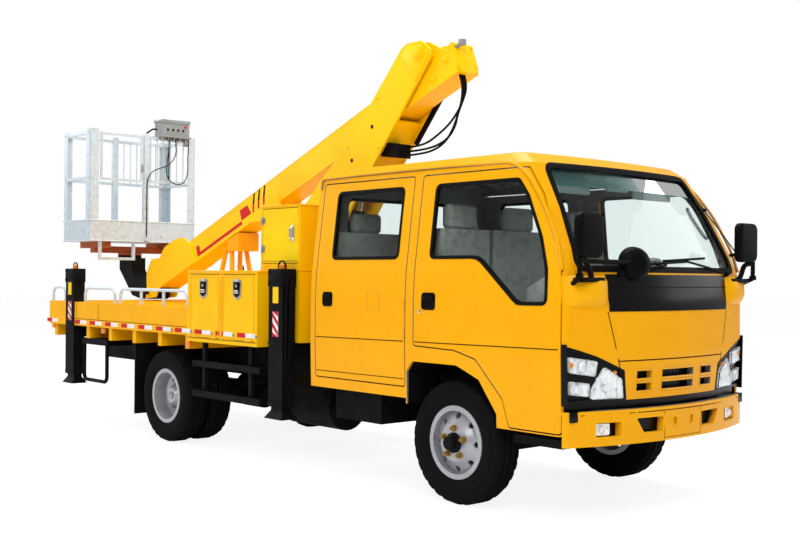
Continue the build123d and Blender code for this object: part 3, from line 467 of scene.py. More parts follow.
def addBolt(bm, place, way, radius=0.012, height=0.008):
    way = Vector(way).normalized()
    place = Vector(place)
    addRod(bm, place - way * 0.002, place + way * height * 0.3, radius * 1.5, sides=16)
    addRod(bm, place, place + way * height, radius, sides=6, bevel=radius * 0.12)


def piece(name, bm, body, material, smooth=True, sharp=35):
    mesh = bpy.data.meshes.new(name)
    bm.normal_update()
    bm.to_mesh(mesh)
    bm.free()
    mesh.materials.append(material)
    if smooth:
        mesh.shade_smooth()
        mesh.set_sharp_from_angle(angle=math.radians(sharp))
    made = bpy.data.objects.new(name, mesh)
    scene.collection.objects.link(made)
    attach(made, body)
    return made


def mirrored(bm):
    # the same again on the other side of the machine
    copy = bmesh.ops.duplicate(bm, geom=bm.verts[:] + bm.edges[:] + bm.faces[:])
    verts = [v for v in copy["geom"] if isinstance(v, bmesh.types.BMVert)]
    bmesh.ops.scale(bm, vec=(-1, 1, 1), verts=verts)
    bmesh.ops.reverse_faces(bm, faces=[f for f in copy["geom"] if isinstance(f, bmesh.types.BMFace)])


def handed(bm, side):
    # drawn on the right; turned over for the left
    if side > 0:
        bmesh.ops.scale(bm, vec=(-1, 1, 1), verts=bm.verts)
        bmesh.ops.reverse_faces(bm, faces=bm.faces)
    return bm


hands = (("right", -1), ("left", 1))

axleY = -2.49
rearWallY, cabinetHalf = -1.1, 0.85
deckSet = {"half": 0.98, "top": 1.13, "strip": (0.928, 0.962)}
columnSet = {"front": -0.795, "rear": 2.555}
columnX = -0.93
# height, half width, nose at the middle and nose at the corners, both ahead of the front axle
cabLevels = [(0.52, 0.888, 1.005, 0.882), (0.96, 0.9, 1.03, 0.895), (1.25, 0.9, 1.025, 0.892),
             (1.424, 0.892, 1.0, 0.876), (1.56, 0.875, 0.922, 0.83), (1.8, 0.846, 0.782, 0.712),
             (2.064, 0.812, 0.62, 0.543), (2.128, 0.768, 0.515, 0.45), (2.15, 0.64, 0.39, 0.34)]


def cabLevel(z):
    for a, b in zip(cabLevels, cabLevels[1:]):
        if z <= b[0]:
            t = max(0, (z - a[0]) / (b[0] - a[0]))
            return [p + (q - p) * t for p, q in zip(a[1:], b[1:])]
    return list(cabLevels[-1][1:])


def sideX(z):
    return -cabLevel(z)[0]


def noseY(x, z):
    # the nose is an arc across the cab, turned into the sides round a corner of its own
    half, middle, corner = cabLevel(z)
    bend = 0.06
    y = axleY - middle + (middle - corner) * min(1, abs(x) / half) ** 2
    past = abs(x) - (half - bend)
    if past > 0:
        y += bend - math.sqrt(max(bend * bend - min(past, bend) ** 2, 0))
    return y


def onSide(y, z, out=0.0):
    return (sideX(z) - out, y, z)


def onNose(x, z, out=0.0):
    return (x, noseY(x, z) - out, z)


def onRearWall(x, z, out):
    return (x, rearWallY + out, z)


def onDeckSide(y, z, out):
    return (-deckSet["half"] - out, y, z)


def onCabinet(y, z, out):
    return (-cabinetHalf - out, y, z)


def fromAxle(points):
    return [(axleY + y, z) for y, z in points]


def inset(points, width):
    # a closed loop brought in by width (positive is inward for either turn)
    points = [Vector(p) for p in points]
    area = sum(a.x * b.y - b.x * a.y for a, b in zip(points, points[1:] + points[:1]))
    way = 1 if area > 0 else -1
    out = []
    for i, here in enumerate(points):
        a, b = (here - points[i - 1]).normalized(), (points[(i + 1) % len(points)] - here).normalized()
        along = (a + b).normalized() if (a + b).length > 1e-6 else a
        normal = Vector((-along.y, along.x)) * way
        out.append(here + normal * width / max(0.35, along.dot(a)))
    return out


def addBand(bm, loop, width, place, proud=0.006, sink=0.02):
    # a flat seal that follows a loop on a surface: place(a, b, out) maps the loop to space
    outer, inner = loop, inset(loop, width)
    rings = []
    for line, out in ((outer, -sink), (outer, proud * 0.6), (inset(loop, width * 0.3), proud),
                      (inner, proud * 0.5), (inner, -sink)):
        rings.append([bm.verts.new(place(p[0], p[1], out)) for p in line])
    made = []
    for a, b in zip(rings, rings[1:] + rings[:1]):
        for i in range(len(a)):
            j = (i + 1) % len(a)
            made.append(bm.faces.new((a[i], a[j], b[j], b[i])))
    bmesh.ops.recalc_face_normals(bm, faces=made)


seamWidth = 0.0045


def addSeam(bm, line, place, width=seamWidth, out=0.0012):
    # a thin dark line drawn as a narrow strip on the surface, for a panel joint and for the painted shade in
    # a crease
    line = [Vector(p) for p in line]
    pieces = []
    for a, b in zip(line, line[1:]):
        count = max(1, int((b - a).length / 0.08))
        pieces += [a + (b - a) * i / count for i in range(count)]
    pieces.append(line[-1])
    left, right = [], []
    for i, here in enumerate(pieces):
        along = (pieces[min(i + 1, len(pieces) - 1)] - pieces[max(i - 1, 0)]).normalized()
        normal = Vector((-along.y, along.x)) * width / 2
        left.append(bm.verts.new(place(*(here + normal), out)))
        right.append(bm.verts.new(place(*(here - normal), out)))
    for i in range(len(left) - 1):
        bm.faces.new((left[i], left[i + 1], right[i + 1], right[i]))


frontWindow = fromAxle([(0.2, 1.504), (-0.218, 1.504), (-0.548, 1.236), (-0.781, 1.239), (-0.778, 1.44),
                        (-0.716, 1.629), (-0.589, 1.872), (-0.5, 1.975), (0.2, 1.975)])
rearWindow = fromAxle([(1.18, 1.504), (0.485, 1.504), (0.485, 1.975), (1.18, 1.975)])
windscreen = [(-0.8, 1.43), (0.8, 1.43), (0.7, 2.072), (-0.7, 2.072)]
rearGlass = [(-0.62, 1.48), (0.62, 1.48), (0.6, 1.96), (-0.6, 1.96)]


def doorDetails(side, hand):
    # rubber round the glass
    for place, window in (("front", frontWindow), ("rear", rearWindow)):
        bm = bmesh.new()
        addBand(bm, rounded(window, 0.05, 6), 0.022, onSide, proud=0.004, sink=0.018)
        piece(f"{place}WindowSeal{hand.title()}", handed(bm, side), f"{place}_door_{hand}",
              rubberSeal)
    # sunk handles and the lock
    handles = {"front": (axleY + 0.185, 1.243, 0.125, 0.108), "rear": (axleY + 1.2, 1.235, 0.11, 0.1)}
    for place, (y, z, wide, tall) in handles.items():
        bm = bmesh.new()
        cup = rounded([(y - wide / 2, z - tall / 2), (y + wide / 2, z - tall / 2),
                       (y + wide / 2, z + tall / 2), (y - wide / 2, z + tall / 2)], 0.026, 5)
        addBand(bm, cup, 0.012, onSide, proud=0.005, sink=0.01)
        disc = [bm.verts.new(onSide(p[0], p[1], 0.0015)) for p in inset(cup, 0.01)]
        bm.faces.new(disc)
        addBlock(bm, (-0.912, y - wide * 0.42, z + 0.004), (-0.902, y + wide * 0.42, z + 0.034), 0.006, 3)
        piece(f"{place}DoorHandle{hand.title()}", handed(bm, side), f"{place}_door_{hand}",
              blackPlastic)
    bm = bmesh.new()
    addRod(bm, (-0.9, axleY + 0.262, 1.178), (-0.906, axleY + 0.262, 1.178), 0.012, bevel=0.002)
    piece(f"doorLock{hand.title()}", handed(bm, side), f"front_door_{hand}", chrome)
    # the crease along the doors, drawn as a dark line of painted shade, and the pressed square on the rear
    # one
    bm = bmesh.new()
    addSeam(bm, fromAxle([(-0.86, 1.0), (0.31, 0.985)]), onSide, 0.006)
    piece(f"frontDoorCreaseShade{hand.title()}", handed(bm, side), f"front_door_{hand}", seamAndShadeInk)
    bm = bmesh.new()
    addSeam(bm, fromAxle([(0.415, 0.984), (1.325, 0.972)]), onSide, 0.006)
    addSeam(bm, fromAxle([(0.415, 0.745), (1.325, 0.74)]), onSide, 0.005)
    piece(f"rearDoorCreaseShade{hand.title()}", handed(bm, side), f"rear_door_{hand}", seamAndShadeInk)
    bm = bmesh.new()
    y, z = axleY + 0.72, 1.235
    square = rounded([(y - 0.065, z - 0.065), (y + 0.065, z - 0.065), (y + 0.065, z + 0.065),
                      (y - 0.065, z + 0.065)], 0.025, 5)
    addBand(bm, square, 0.01, onSide, proud=0.0035, sink=0.004)
    piece(f"pressedSquare{hand.title()}", handed(bm, side), f"rear_door_{hand}", cabPaint)


def alongLoop(points, step):
    # a closed loop with no edge longer than step
    out = []
    for a, b in zip(points, points[1:] + points[:1]):
        a, b = Vector(a), Vector(b)
        count = max(1, int((b - a).length / step))
        out += [a + (b - a) * i / count for i in range(count)]
    return out


def addPanel(bm, outline, place, out=0.0, step=0.04):
    # a thin panel with any outline, bent to a surface
    flat = bmesh.new()
    flat.faces.new([flat.verts.new((p[0], p[1], 0)) for p in outline])
    reach = [(min(p[k] for p in outline), max(p[k] for p in outline)) for k in (0, 1)]
    for k in (0, 1):
        at = reach[k][0] + step
        while at < reach[k][1]:
            way = (1, 0, 0) if k == 0 else (0, 1, 0)
            bmesh.ops.bisect_plane(flat, geom=flat.verts[:] + flat.edges[:] + flat.faces[:],
                                   plane_co=(at, at, 0), plane_no=way)
            at += step
    for v in flat.verts:
        v.co = Vector(place(v.co.x, v.co.y, out))
    mesh = bpy.data.meshes.new("panel")
    flat.to_mesh(mesh)
    flat.free()
    bm.from_mesh(mesh)
    bpy.data.meshes.remove(mesh)


grilleSet = {"rows": ((0.751, 0.799), (0.821, 0.87)), "columns": ((-0.378, -0.243), (-0.161, 0.161),
                                                                  (0.243, 0.378))}


def cabDetails():
    # windscreen and rear glass seals
    bm = bmesh.new()
    addBand(bm, alongLoop(rounded(windscreen, 0.08, 8), 0.08), 0.036, onNose, proud=0.007, sink=0.02)
    piece("windscreenSeal", bm, "chassis", rubberSeal)
    bm = bmesh.new()
    addBand(bm, rounded(rearGlass, 0.07, 6), 0.024, onRearWall, proud=0.006, sink=0.02)
    piece("rearGlassSeal", bm, "chassis", rubberSeal)
    # tinted top of the windscreen
    bm = bmesh.new()
    rows = []
    for z, reach in ((2.056, 0.665), (2.0, 0.685), (1.93, 0.7)):
        rows.append([bm.verts.new(onNose(reach * i / 8, z, -0.0145)) for i in range(-8, 9)])
    for a, b in zip(rows, rows[1:]):
        for i in range(16):
            bm.faces.new((a[i], a[i + 1], b[i + 1], b[i]))
    piece("sunBand", bm, "chassis", tintGlass)
    # gutter along each side of the roof
    bm = bmesh.new()
    line = [(-0.826, -1.115, 2.0), (-0.818, -1.115, 2.075), (-0.815, -1.6, 2.082), (-0.815, -2.3, 2.082),
            (-0.81, -2.93, 2.07), (-0.823, -3.055, 1.99), (-0.845, -3.2, 1.81), (-0.868, -3.322, 1.58),
            (-0.884, -3.362, 1.44)]
    addTube(bm, rounded(line, 0.08, 6, closed=False), 0.01, sides=8)
    mirrored(bm)
    piece("roofGutter", bm, "chassis", cabPaint)
    # black band across the nose, left bare, with a crease along its upper half
    bm = bmesh.new()
    addPanel(bm, [(-0.59, 1.208), (0.59, 1.208), (0.603, 1.418), (-0.603, 1.418)], onNose, 0.004)
    bmesh.ops.solidify(bm, geom=bm.faces[:], thickness=0.006)
    piece("noseBand", bm, "chassis", glossBlack)
    bm = bmesh.new()
    addTube(bm, [onNose(0.6 * i / 8, 1.345, 0.004) for i in range(-8, 9)], 0.003)
    piece("bandCrease", bm, "chassis", blackPlastic)
    # seams on the nose, grille frames and the dark screen behind them
    bm = bmesh.new()
    addSeam(bm, [(-0.52, 0.928), (0.52, 0.928)], onNose, 0.007)
    for way in (-1, 1):
        line = [(way * 0.6, 1.208), (way * 0.52, 0.928), (way * 0.452, 0.707)]
        addSeam(bm, line, onNose, 0.007)
        addSeam(bm, [(way * 0.8, 1.428), (way * 0.876, 1.43)], onNose, 0.006)
    piece("noseSeams", bm, "chassis", seamAndShadeInk)
    bm = bmesh.new()
    for z0, z1 in grilleSet["rows"]:
        for x0, x1 in grilleSet["columns"]:
            rim = 0.007
            loop = rounded([(x0 - rim, z0 - rim), (x1 + rim, z0 - rim), (x1 + rim, z1 + rim),
                            (x0 - rim, z1 + rim)], 0.012, 4)
            addBand(bm, alongLoop(loop, 0.05), 0.01, onNose, proud=0.005, sink=0.012)
    piece("grilleFrames", bm, "chassis", cabPaint)
    bm = bmesh.new()
    addPanel(bm, [(-0.42, 0.72), (0.42, 0.72), (0.42, 0.9), (-0.42, 0.9)], onNose, -0.05)
    for i in range(24):
        addTube(bm, [onNose(-0.39 + i * 0.034, z, -0.046) for z in (0.73, 0.89)], 0.002, sides=4)
    piece("radiatorScreen", bm, "chassis", glossBlack)


def cabinInside():
    # sun visors, roof mirror, grab handles, head rests and dash top, seen through the glass
    bm = bmesh.new()
    for x in (-0.42, 0.42):
        addBlock(bm, (x - 0.2, -3.02, 1.9), (x + 0.2, -3.0, 2.06), 0.008, 3)
    addBlock(bm, (-0.11, -3.06, 1.93), (0.11, -3.04, 1.99), 0.01, 3)
    addRod(bm, (0, -3.05, 1.98), (0, -3.0, 2.08), 0.008)
    for side in (-1, 1):
        handle = [(side * 0.765, -3.2, 1.66), (side * 0.71, -3.21, 1.68), (side * 0.69, -3.13, 1.8),
                  (side * 0.735, -3.07, 1.86)]
        addTube(bm, rounded(handle, 0.03, 4, closed=False), 0.011)
    piece("visorsAndHandles", bm, "chassis", trimPlastic)
    bm = bmesh.new()
    for x in (-0.585, -0.04, 0.585):
        addBlock(bm, (x - 0.13, -2.3, 1.7), (x + 0.13, -2.22, 1.86), 0.03, 4)
    for x in (-0.5, 0.5):
        addBlock(bm, (x - 0.13, -1.25, 1.7), (x + 0.13, -1.18, 1.84), 0.03, 4)
    piece("headRests", bm, "chassis", seatCloth)
    bm = bmesh.new()
    addBlock(bm, (-0.3, -3.26, 1.4), (0.2, -3.1, 1.42), 0.008, 3)
    addBlock(bm, (0.25, -3.14, 1.38), (0.62, -3.06, 1.44), 0.02, 4)
    for i in range(6):
        addBlock(bm, (-0.62 + i * 0.045, -3.2, 1.392), (-0.6 + i * 0.045, -3.12, 1.404), 0.002)
    piece("dashTop", bm, "chassis", blackPlastic)


for hand, side in hands:
    doorDetails(side, hand)
cabDetails()
cabinInside()
print("cab trim done")

mirrorSet = {"x": (0.69, 0.9), "y": (-3.502, -3.452), "z": (1.505, 1.755)}


def mirrorDetails(side, hand):
    bm = bmesh.new()
    (x0, x1), (y0, y1), (z0, z1) = mirrorSet["x"], mirrorSet["y"], mirrorSet["z"]
    bmesh.ops.create_cube(bm, size=1, matrix=Matrix.Translation((-(x0 + x1) / 2, (y0 + y1) / 2,
                                                                 (z0 + z1) / 2)) @ Matrix.Diagonal((x1 - x0,
                                                                                                    y1 - y0,
                                                                                                    z1 - z0,
                                                                                                    1)))
    upright = [e for e in bm.edges if abs(e.verts[0].co.y - e.verts[1].co.y) > 0.01]
    bmesh.ops.bevel(bm, geom=upright, offset=0.045, segments=6, affect="EDGES", profile=0.5, material=-1)
    front = [e for e in bm.edges if all(v.co.y < y0 + 0.001 for v in e.verts)]
    bmesh.ops.bevel(bm, geom=front, offset=0.02, segments=4, affect="EDGES", profile=0.5, material=-1)
    back = [e for e in bm.edges if all(v.co.y > y1 - 0.001 for v in e.verts)]
    bmesh.ops.bevel(bm, geom=back, offset=0.006, segments=2, affect="EDGES", profile=0.5, material=-1)
    for start, end in (((-0.875, -3.477, 1.4), (-0.875, -3.477, 1.51)), ((-0.83, -3.36, 1.34),
                                                                         (-0.875, -3.477, 1.4))):
        addRod(bm, start, end, 0.014)
    addLathe(bm, [(-0.014, 0), (-0.014, 0.022), (0.014, 0.022), (0.014, 0)], (-0.875, -3.477, 1.405),
             (0, 0, 1), 20)
    addTube(bm, rounded([(-0.875, -3.477, 1.5), (-0.8, -3.46, 1.49), (-0.75, -3.46, 1.4),
                         (-0.72, -3.43, 1.385)], 0.03, 4, closed=False), 0.016)
    addBlock(bm, (-0.85, -3.475, 1.372), (-0.64, -3.4, 1.4), 0.012, 3)
    if side < 0:  # round kerb mirror on its own arm
        addTube(bm, [(-0.79, -3.46, 1.487), (-0.6, -3.49, 1.487), (-0.43, -3.49, 1.487)], 0.013)
        addLathe(bm, [(-0.035, 0), (-0.035, 0.04), (-0.024, 0.07), (0.0, 0.092), (0.022, 0.1), (0.03, 0.094),
                      (0.03, 0)], (-0.392, -3.49, 1.485), (0.45, 0.85, -0.2), 40)
    shell = piece(f"mirror{hand.title()}", handed(bm, side), "chassis", blackPlastic)
    bm = bmesh.new()
    loop = rounded([(-x0 - 0.015, z0 + 0.015), (-x1 + 0.015, z0 + 0.015), (-x1 + 0.015, z1 - 0.015),
                    (-x0 - 0.015, z1 - 0.015)], 0.035, 6)
    bm.faces.new([bm.verts.new((p.x, y1 + 0.0015, p.y)) for p in loop])
    piece(f"mirrorGlass{hand.title()}", handed(bm, side), "chassis", chrome)
    # painted corner housing that the mirror arm comes out of
    bm = bmesh.new()
    rows = []
    for z, out in ((1.236, 0.002), (1.262, 0.03), (1.3, 0.05), (1.38, 0.055), (1.4, 0.035), (1.41, 0.002)):
        row = []
        for x in (-0.885, -0.87, -0.83, -0.76, -0.69, -0.63, -0.608):
            edge = min((x + 0.885) / 0.03, (-0.608 - x) / 0.03, 1)
            row.append(bm.verts.new((x, noseY(x, z) - out * edge, z)))
        rows.append(row)
    for a, b in zip(rows, rows[1:]):
        for i in range(len(a) - 1):
            bm.faces.new((a[i], a[i + 1], b[i + 1], b[i]))
    piece(f"mirrorMount{hand.title()}", handed(bm, side), "chassis", bodyPaint, sharp=60)
    return shell


def wiperDetails():
    bm = bmesh.new()
    for root, tip in (((-0.5, 1.425), (-0.08, 1.475)), ((0.62, 1.43), (0.16, 1.5))):
        start, end = Vector(onNose(*root, 0.012)), Vector(onNose(*tip, 0.02))
        addRod(bm, start + Vector((0, 0.01, -0.01)), start - Vector((0, 0.02, -0.006)), 0.016, bevel=0.003)
        addTube(bm, [start, start.lerp(end, 0.5) - Vector((0, 0.012, 0)), end], 0.007)
        blade = [Vector(onNose(tip[0] + d, tip[1] + 0.012 + d * 0.05, 0.012)) for d in (-0.24, -0.12, 0, 0.12,
                                                                                        0.24)]
        addTube(bm, blade, 0.0075)
    piece("wipers", bm, "chassis", blackPlastic)
    # slim aerial up the far pillar, in two clamps
    bm = bmesh.new()
    foot, tip = Vector((0.81, -3.4, 1.56)), Vector((0.72, -3.06, 2.03))
    addRod(bm, foot, tip, 0.004, sides=8)
    for t in (0.0, 0.62):
        spot = foot.lerp(tip, t)
        addRod(bm, spot - Vector((0, 0.014, 0)), spot + Vector((0, 0.05, -0.01)), 0.011, bevel=0.002)
    piece("antenna", bm, "chassis", blackPlastic)


def lampDetails(side, hand):
    # head lamp: black surround, three silvered units behind clear lenses
    def onLamp(x, z, out):
        x = max(x, -0.884)
        return (x, min(noseY(x, z), -3.374) - out, z)

    bm = bmesh.new()
    surround = [(-0.884, 1.025), (-0.862, 1.015), (-0.673, 0.958), (-0.473, 0.876), (-0.448, 0.707),
                (-0.884, 0.707)]
    addBand(bm, alongLoop(surround, 0.05), 0.016, onLamp, proud=0.004, sink=0.03)
    addPanel(bm, surround, onLamp, -0.012)
    addPlate(bm, [(-0.886, -3.4, 0.69), (-0.886, -3.366, 0.69), (-0.893, -3.366, 1.03), (-0.893, -3.4, 1.03)],
             (0.01, 0, 0), 0)
    main = piece(f"headLampCase{hand.title()}", handed(bm, side), "chassis", glossBlack,
                 sharp=50)
    units = [[(-0.865, 0.961), (-0.673, 0.932), (-0.686, 0.847), (-0.855, 0.872)],
             [(-0.852, 0.826), (-0.721, 0.81), (-0.724, 0.736), (-0.85, 0.751)],
             [(-0.619, 0.899), (-0.492, 0.828), (-0.475, 0.716), (-0.708, 0.72), (-0.704, 0.774)]]
    bulbs = [(-0.842, 0.915, 0.016), (-0.54, 0.865, 0.012), (-0.8, 0.78, 0.01)]
    bowls, lenses, glow = bmesh.new(), bmesh.new(), bmesh.new()
    for outline, bulb in zip(units, bulbs):
        loop = rounded(outline, 0.014, 4)
        addBand(bowls, loop, 0.005, onLamp, proud=0.006, sink=0.01)
        middle = sum(loop, Vector((0, 0))) / len(loop)
        rings, lensRings = [], []
        for shrink, out in ((1, 0.0), (0.82, -0.008), (0.45, -0.011)):
            rings.append([bowls.verts.new(onLamp(*(middle + (p - middle) * shrink), out)) for p in loop])
        for shrink, out in ((1, 0.002), (0.8, 0.007), (0.4, 0.01)):
            lensRings.append([lenses.verts.new(onLamp(*(middle + (p - middle) * shrink), out)) for p in loop])
        for mesh, stack in ((bowls, rings), (lenses, lensRings)):
            for a, b in zip(stack, stack[1:]):
                for i in range(len(a)):
                    j = (i + 1) % len(a)
                    mesh.faces.new((a[i], a[j], b[j], b[i]))
            mesh.faces.new(stack[-1])
        # flutes across the reflector
        wide = max(p.x for p in loop) - min(p.x for p in loop)
        for i in range(1, 6):
            x = min(p.x for p in loop) + wide * i / 6
            tall = max(p.y for p in loop) - min(p.y for p in loop)
            ends = [middle.y - tall * 0.3, middle.y + tall * 0.3]
            addTube(bowls, [onLamp(x, z, -0.006) for z in ends], 0.0025, sides=4)
        addLathe(bowls, [(0, 0), (0.006, 0.03), (0.012, 0.024), (0.014, 0)],
                 Vector(onLamp(middle.x, middle.y, -0.011)), (0, -1, 0), 24)
        x, z, radius = bulb
        addLathe(glow, [(0, 0), (0.0, radius), (0.012, radius * 0.8), (0.014, 0)],
                 Vector(onLamp(x, z, -0.009)), (0, -1, 0), 20)
    bmesh.ops.recalc_face_normals(bowls, faces=bowls.faces[:])
    piece(f"headLampBowls{hand.title()}", handed(bowls, side), "chassis", lampSilver,
          sharp=40)
    piece(f"headLampBulbs{hand.title()}", handed(glow, side), "chassis", amber)
    lens = piece(f"headLampLens{hand.title()}", handed(lenses, side), "chassis", lensGlass,
                 sharp=60)
    lens.modifiers.new("wall", "SOLIDIFY").thickness = 0.002
    # fog lamp in the left part of the bumper's pocket
    bm = bmesh.new()
    addPanel(bm, rounded([(-0.695, 0.518), (-0.585, 0.518), (-0.585, 0.583), (-0.695, 0.583)], 0.01, 4),
             onBumper, -0.02, 0.03)
    addLathe(bm, [(0, 0), (0.006, 0.024), (0.01, 0.02), (0.012, 0)], Vector(onBumper(-0.64, 0.55, -0.02)),
             (0.2, -1, 0), 24)
    piece(f"fogLamp{hand.title()}", handed(bm, side), "chassis", lampSilver)
    # rear lamp and amber markers
    bm = bmesh.new()
    addBlock(bm, (-0.94, 3.008, 0.92), (-0.68, 3.04, 1.01), 0.008, 3)
    piece(f"rearLamp{hand.title()}", handed(bm, side), "chassis", redLens)
    bm = bmesh.new()
    addBlock(bm, (-0.86, 3.009, 0.925), (-0.78, 3.0425, 1.005), 0.006, 3)
    for y, z in ((0.43, 0.838), (2.93, 0.89), (1.9, 0.88)):
        addBlock(bm, (-0.978, y - 0.03, z - 0.022), (-0.955, y + 0.03, z + 0.022), 0.006, 3)
    piece(f"amberMarkers{hand.title()}", handed(bm, side), "chassis", amber)
    # beacon on each column, in its hoop
    glow, wire = bmesh.new(), bmesh.new()
    for y in columnSet.values():
        addLathe(glow, [(0, 0), (0, 0.026), (0.03, 0.024), (0.042, 0.013), (0.045, 0)], (columnX, y, 1.438),
                 (0, 0, 1), 24)
        arc = [math.radians(-30 + 240 * i / 20) for i in range(21)]
        addTube(wire, [(columnX, y + 0.046 * math.cos(a), 1.458 + 0.04 * math.sin(a)) for a in arc], 0.006)
    piece(f"beacons{hand.title()}", handed(glow, side), "chassis", amber)
    piece(f"beaconRings{hand.title()}", handed(wire, side), "chassis", blackPlastic)
    return main


bumperSet = {"nose": 3.555, "drop": 0.165, "half": 0.89, "bend": 0.04}


def onBumper(x, z, out):
    y = -bumperSet["nose"] + bumperSet["drop"] * (x / bumperSet["half"]) ** 2
    past = abs(x) - (bumperSet["half"] - bumperSet["bend"])
    if past > 0:
        y += bumperSet["bend"] - math.sqrt(max(bumperSet["bend"] ** 2 - min(past, bumperSet["bend"]) ** 2, 0))
    return (x, y - out, z)


def behindNose(x, z, out):
    # the gap over the bumper, just behind the nose panel
    return (x, max(noseY(x, z) + 0.03, -3.47), z)


def bumperDetails():
    bm = bmesh.new()
    pockets = [([(-0.42, 0.608), (-0.184, 0.608), (-0.192, 0.512), (-0.356, 0.512)], 0.018),
               ([(-0.102, 0.537), (-0.062, 0.537), (-0.062, 0.597), (-0.102, 0.597)], 0.019),
               ([(-0.7, 0.506), (-0.515, 0.506), (-0.515, 0.595), (-0.7, 0.595)], 0.016)]
    for outline, bend in pockets:
        loop = inset(rounded(outline, bend, 5), -0.006)
        addBand(bm, alongLoop(loop, 0.05), 0.011, onBumper, proud=0.0035, sink=0.03)
    mirrored(bm)
    # rolled upper edge
    addTube(bm, [onBumper(0.885 * i / 24, 0.6475, -0.0075) for i in range(-24, 25)], 0.01, sides=12)
    piece("bumperFrames", bm, "chassis", bodyPaint)
    bm = bmesh.new()
    addSeam(bm, [(-0.87, 0.636), (0.87, 0.636)], onBumper, 0.005)
    for x in (-0.182, 0.182):
        addSeam(bm, [(x, 0.465), (x, 0.634)], onBumper, 0.003)
    addSeam(bm, [(-0.182, 0.478), (0.182, 0.478)], onBumper, 0.003)
    piece("bumperSeam", bm, "chassis", seamAndShadeInk)
    # black sheets in the gap over the bumper, behind its pockets and behind its top edge: painted shade
    bm = bmesh.new()
    addPanel(bm, [(-0.88, 0.63), (0.88, 0.63), (0.88, 0.735), (-0.88, 0.735)],
             behindNose)
    addPanel(bm, [(-0.75, 0.47), (0.75, 0.47), (0.75, 0.65), (-0.75, 0.65)], onBumper, -0.05)
    addBlock(bm, (-0.86, -3.42, 0.6), (0.86, -3.36, 0.66), 0.004)
    piece("bumperGapShade", bm, "chassis", glossBlack)


cases = []
for hand, side in hands:
    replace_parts(mirrorDetails(side, hand), "mirrors")
    cases.append(lampDetails(side, hand))
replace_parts(cases[0], "lamps")
wiperDetails()
bumperDetails()
print("mirrors and lamps done")

wheelSet = {"radius": 0.384, "half": 0.1, "seat": 0.2062, "axleZ": 0.384, "frontX": 0.752,
            "rearX": (0.6, 0.83), "rearY": 0.87, "grooves": (-0.045, 0.0, 0.045)}


def addTyre(bm, centreX, y, z, steps=120):
    r, half, seat = wheelSet["radius"], wheelSet["half"], wheelSet["seat"]
    tread = [(-0.078, r - 0.012)]
    for groove in wheelSet["grooves"]:
        tread += [(groove - 0.007, r - 0.001), (groove - 0.005, r - 0.011), (groove + 0.005, r - 0.011),
                  (groove + 0.007, r - 0.001)]
    tread += [(0.078, r - 0.012)]
    wall = [(0.079, seat), (0.079, 0.226), (0.086, 0.232), (0.089, 0.24), (0.0975, 0.275), (half, 0.3),
            (0.0992, 0.315), (0.0965, 0.318), (0.0965, 0.33), (0.094, 0.342), (0.0925, 0.346), (0.091, 0.36),
            (0.086, 0.37)]
    outline = wall + [(a, b) for a, b in reversed(tread)] + [(-a, b) for a, b in reversed(wall)]
    made = addLathe(bm, outline, (centreX, y, z), (1, 0, 0), steps)
    # shoulder blocks: every other step of the outer tread sinks
    centre = Vector((centreX, y, z))
    for v in made:
        away = Vector((0, v.co.y - y, v.co.z - z))
        width = abs(v.co.x - centreX)
        if 0.05 < width < 0.09 and away.length > 0.355:
            turn = round(math.atan2(away.z, away.y) / (2 * math.pi) * steps)
            if turn % 4 == 0:
                v.co -= away.normalized() * 0.007


def wheelDetails(side, hand):
    z = wheelSet["axleZ"]
    bm = bmesh.new()
    addTyre(bm, wheelSet["frontX"], axleY, z)
    front = piece(f"frontTyre{hand.title()}", handed(bm, -side), f"front_wheel_{hand}",
                  tyreRubber, sharp=28)
    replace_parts(front, f"front_tyre_{hand}")
    bm = bmesh.new()
    for x in wheelSet["rearX"]:
        addTyre(bm, x, wheelSet["rearY"], z)
    rear = piece(f"rearTyres{hand.title()}", handed(bm, -side), f"rear_wheels_{hand}",
                 tyreRubber, sharp=28)
    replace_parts(rear, f"rear_tyres_{hand}")
    # nuts and hub
    bm = bmesh.new()
    for turn in range(5):
        a = math.radians(72 * turn + 18)
        y, zz = axleY + 0.089 * math.cos(a), z + 0.089 * math.sin(a)
        addRod(bm, (0.842, y, zz), (0.85, y, zz), 0.022, sides=20)
        addRod(bm, (0.846, y, zz), (0.872, y, zz), 0.0165, sides=6, bevel=0.003)
        addRod(bm, (0.87, y, zz), (0.884, y, zz), 0.009, sides=12, bevel=0.002)
    piece(f"frontNuts{hand.title()}", handed(bm, -side), f"front_wheel_{hand}", brass)
    bm = bmesh.new()
    addLathe(bm, [(0.845, 0), (0.845, 0.062), (0.856, 0.062), (0.862, 0.05), (0.868, 0.043), (0.9, 0.041),
                  (0.906, 0.036), (0.907, 0)], (0, axleY, z), (1, 0, 0), 40)
    piece(f"frontHub{hand.title()}", handed(bm, -side), f"front_wheel_{hand}", blackPaint)
    bm = bmesh.new()
    for turn in range(5):
        a = math.radians(72 * turn + 40)
        y, zz = wheelSet["rearY"] + 0.1 * math.cos(a), z + 0.1 * math.sin(a)
        addRod(bm, (0.72, y, zz), (0.748, y, zz), 0.0165, sides=6, bevel=0.003)
        addRod(bm, (0.745, y, zz), (0.765, y, zz), 0.009, sides=12, bevel=0.002)
    addRod(bm, (0.87, wheelSet["rearY"], z), (0.872, wheelSet["rearY"], z), 0.03, sides=24, bevel=0.001)
    piece(f"rearNuts{hand.title()}", handed(bm, -side), f"rear_wheels_{hand}", steel)


for hand, side in hands:
    wheelDetails(side, hand)
print("wheels done")


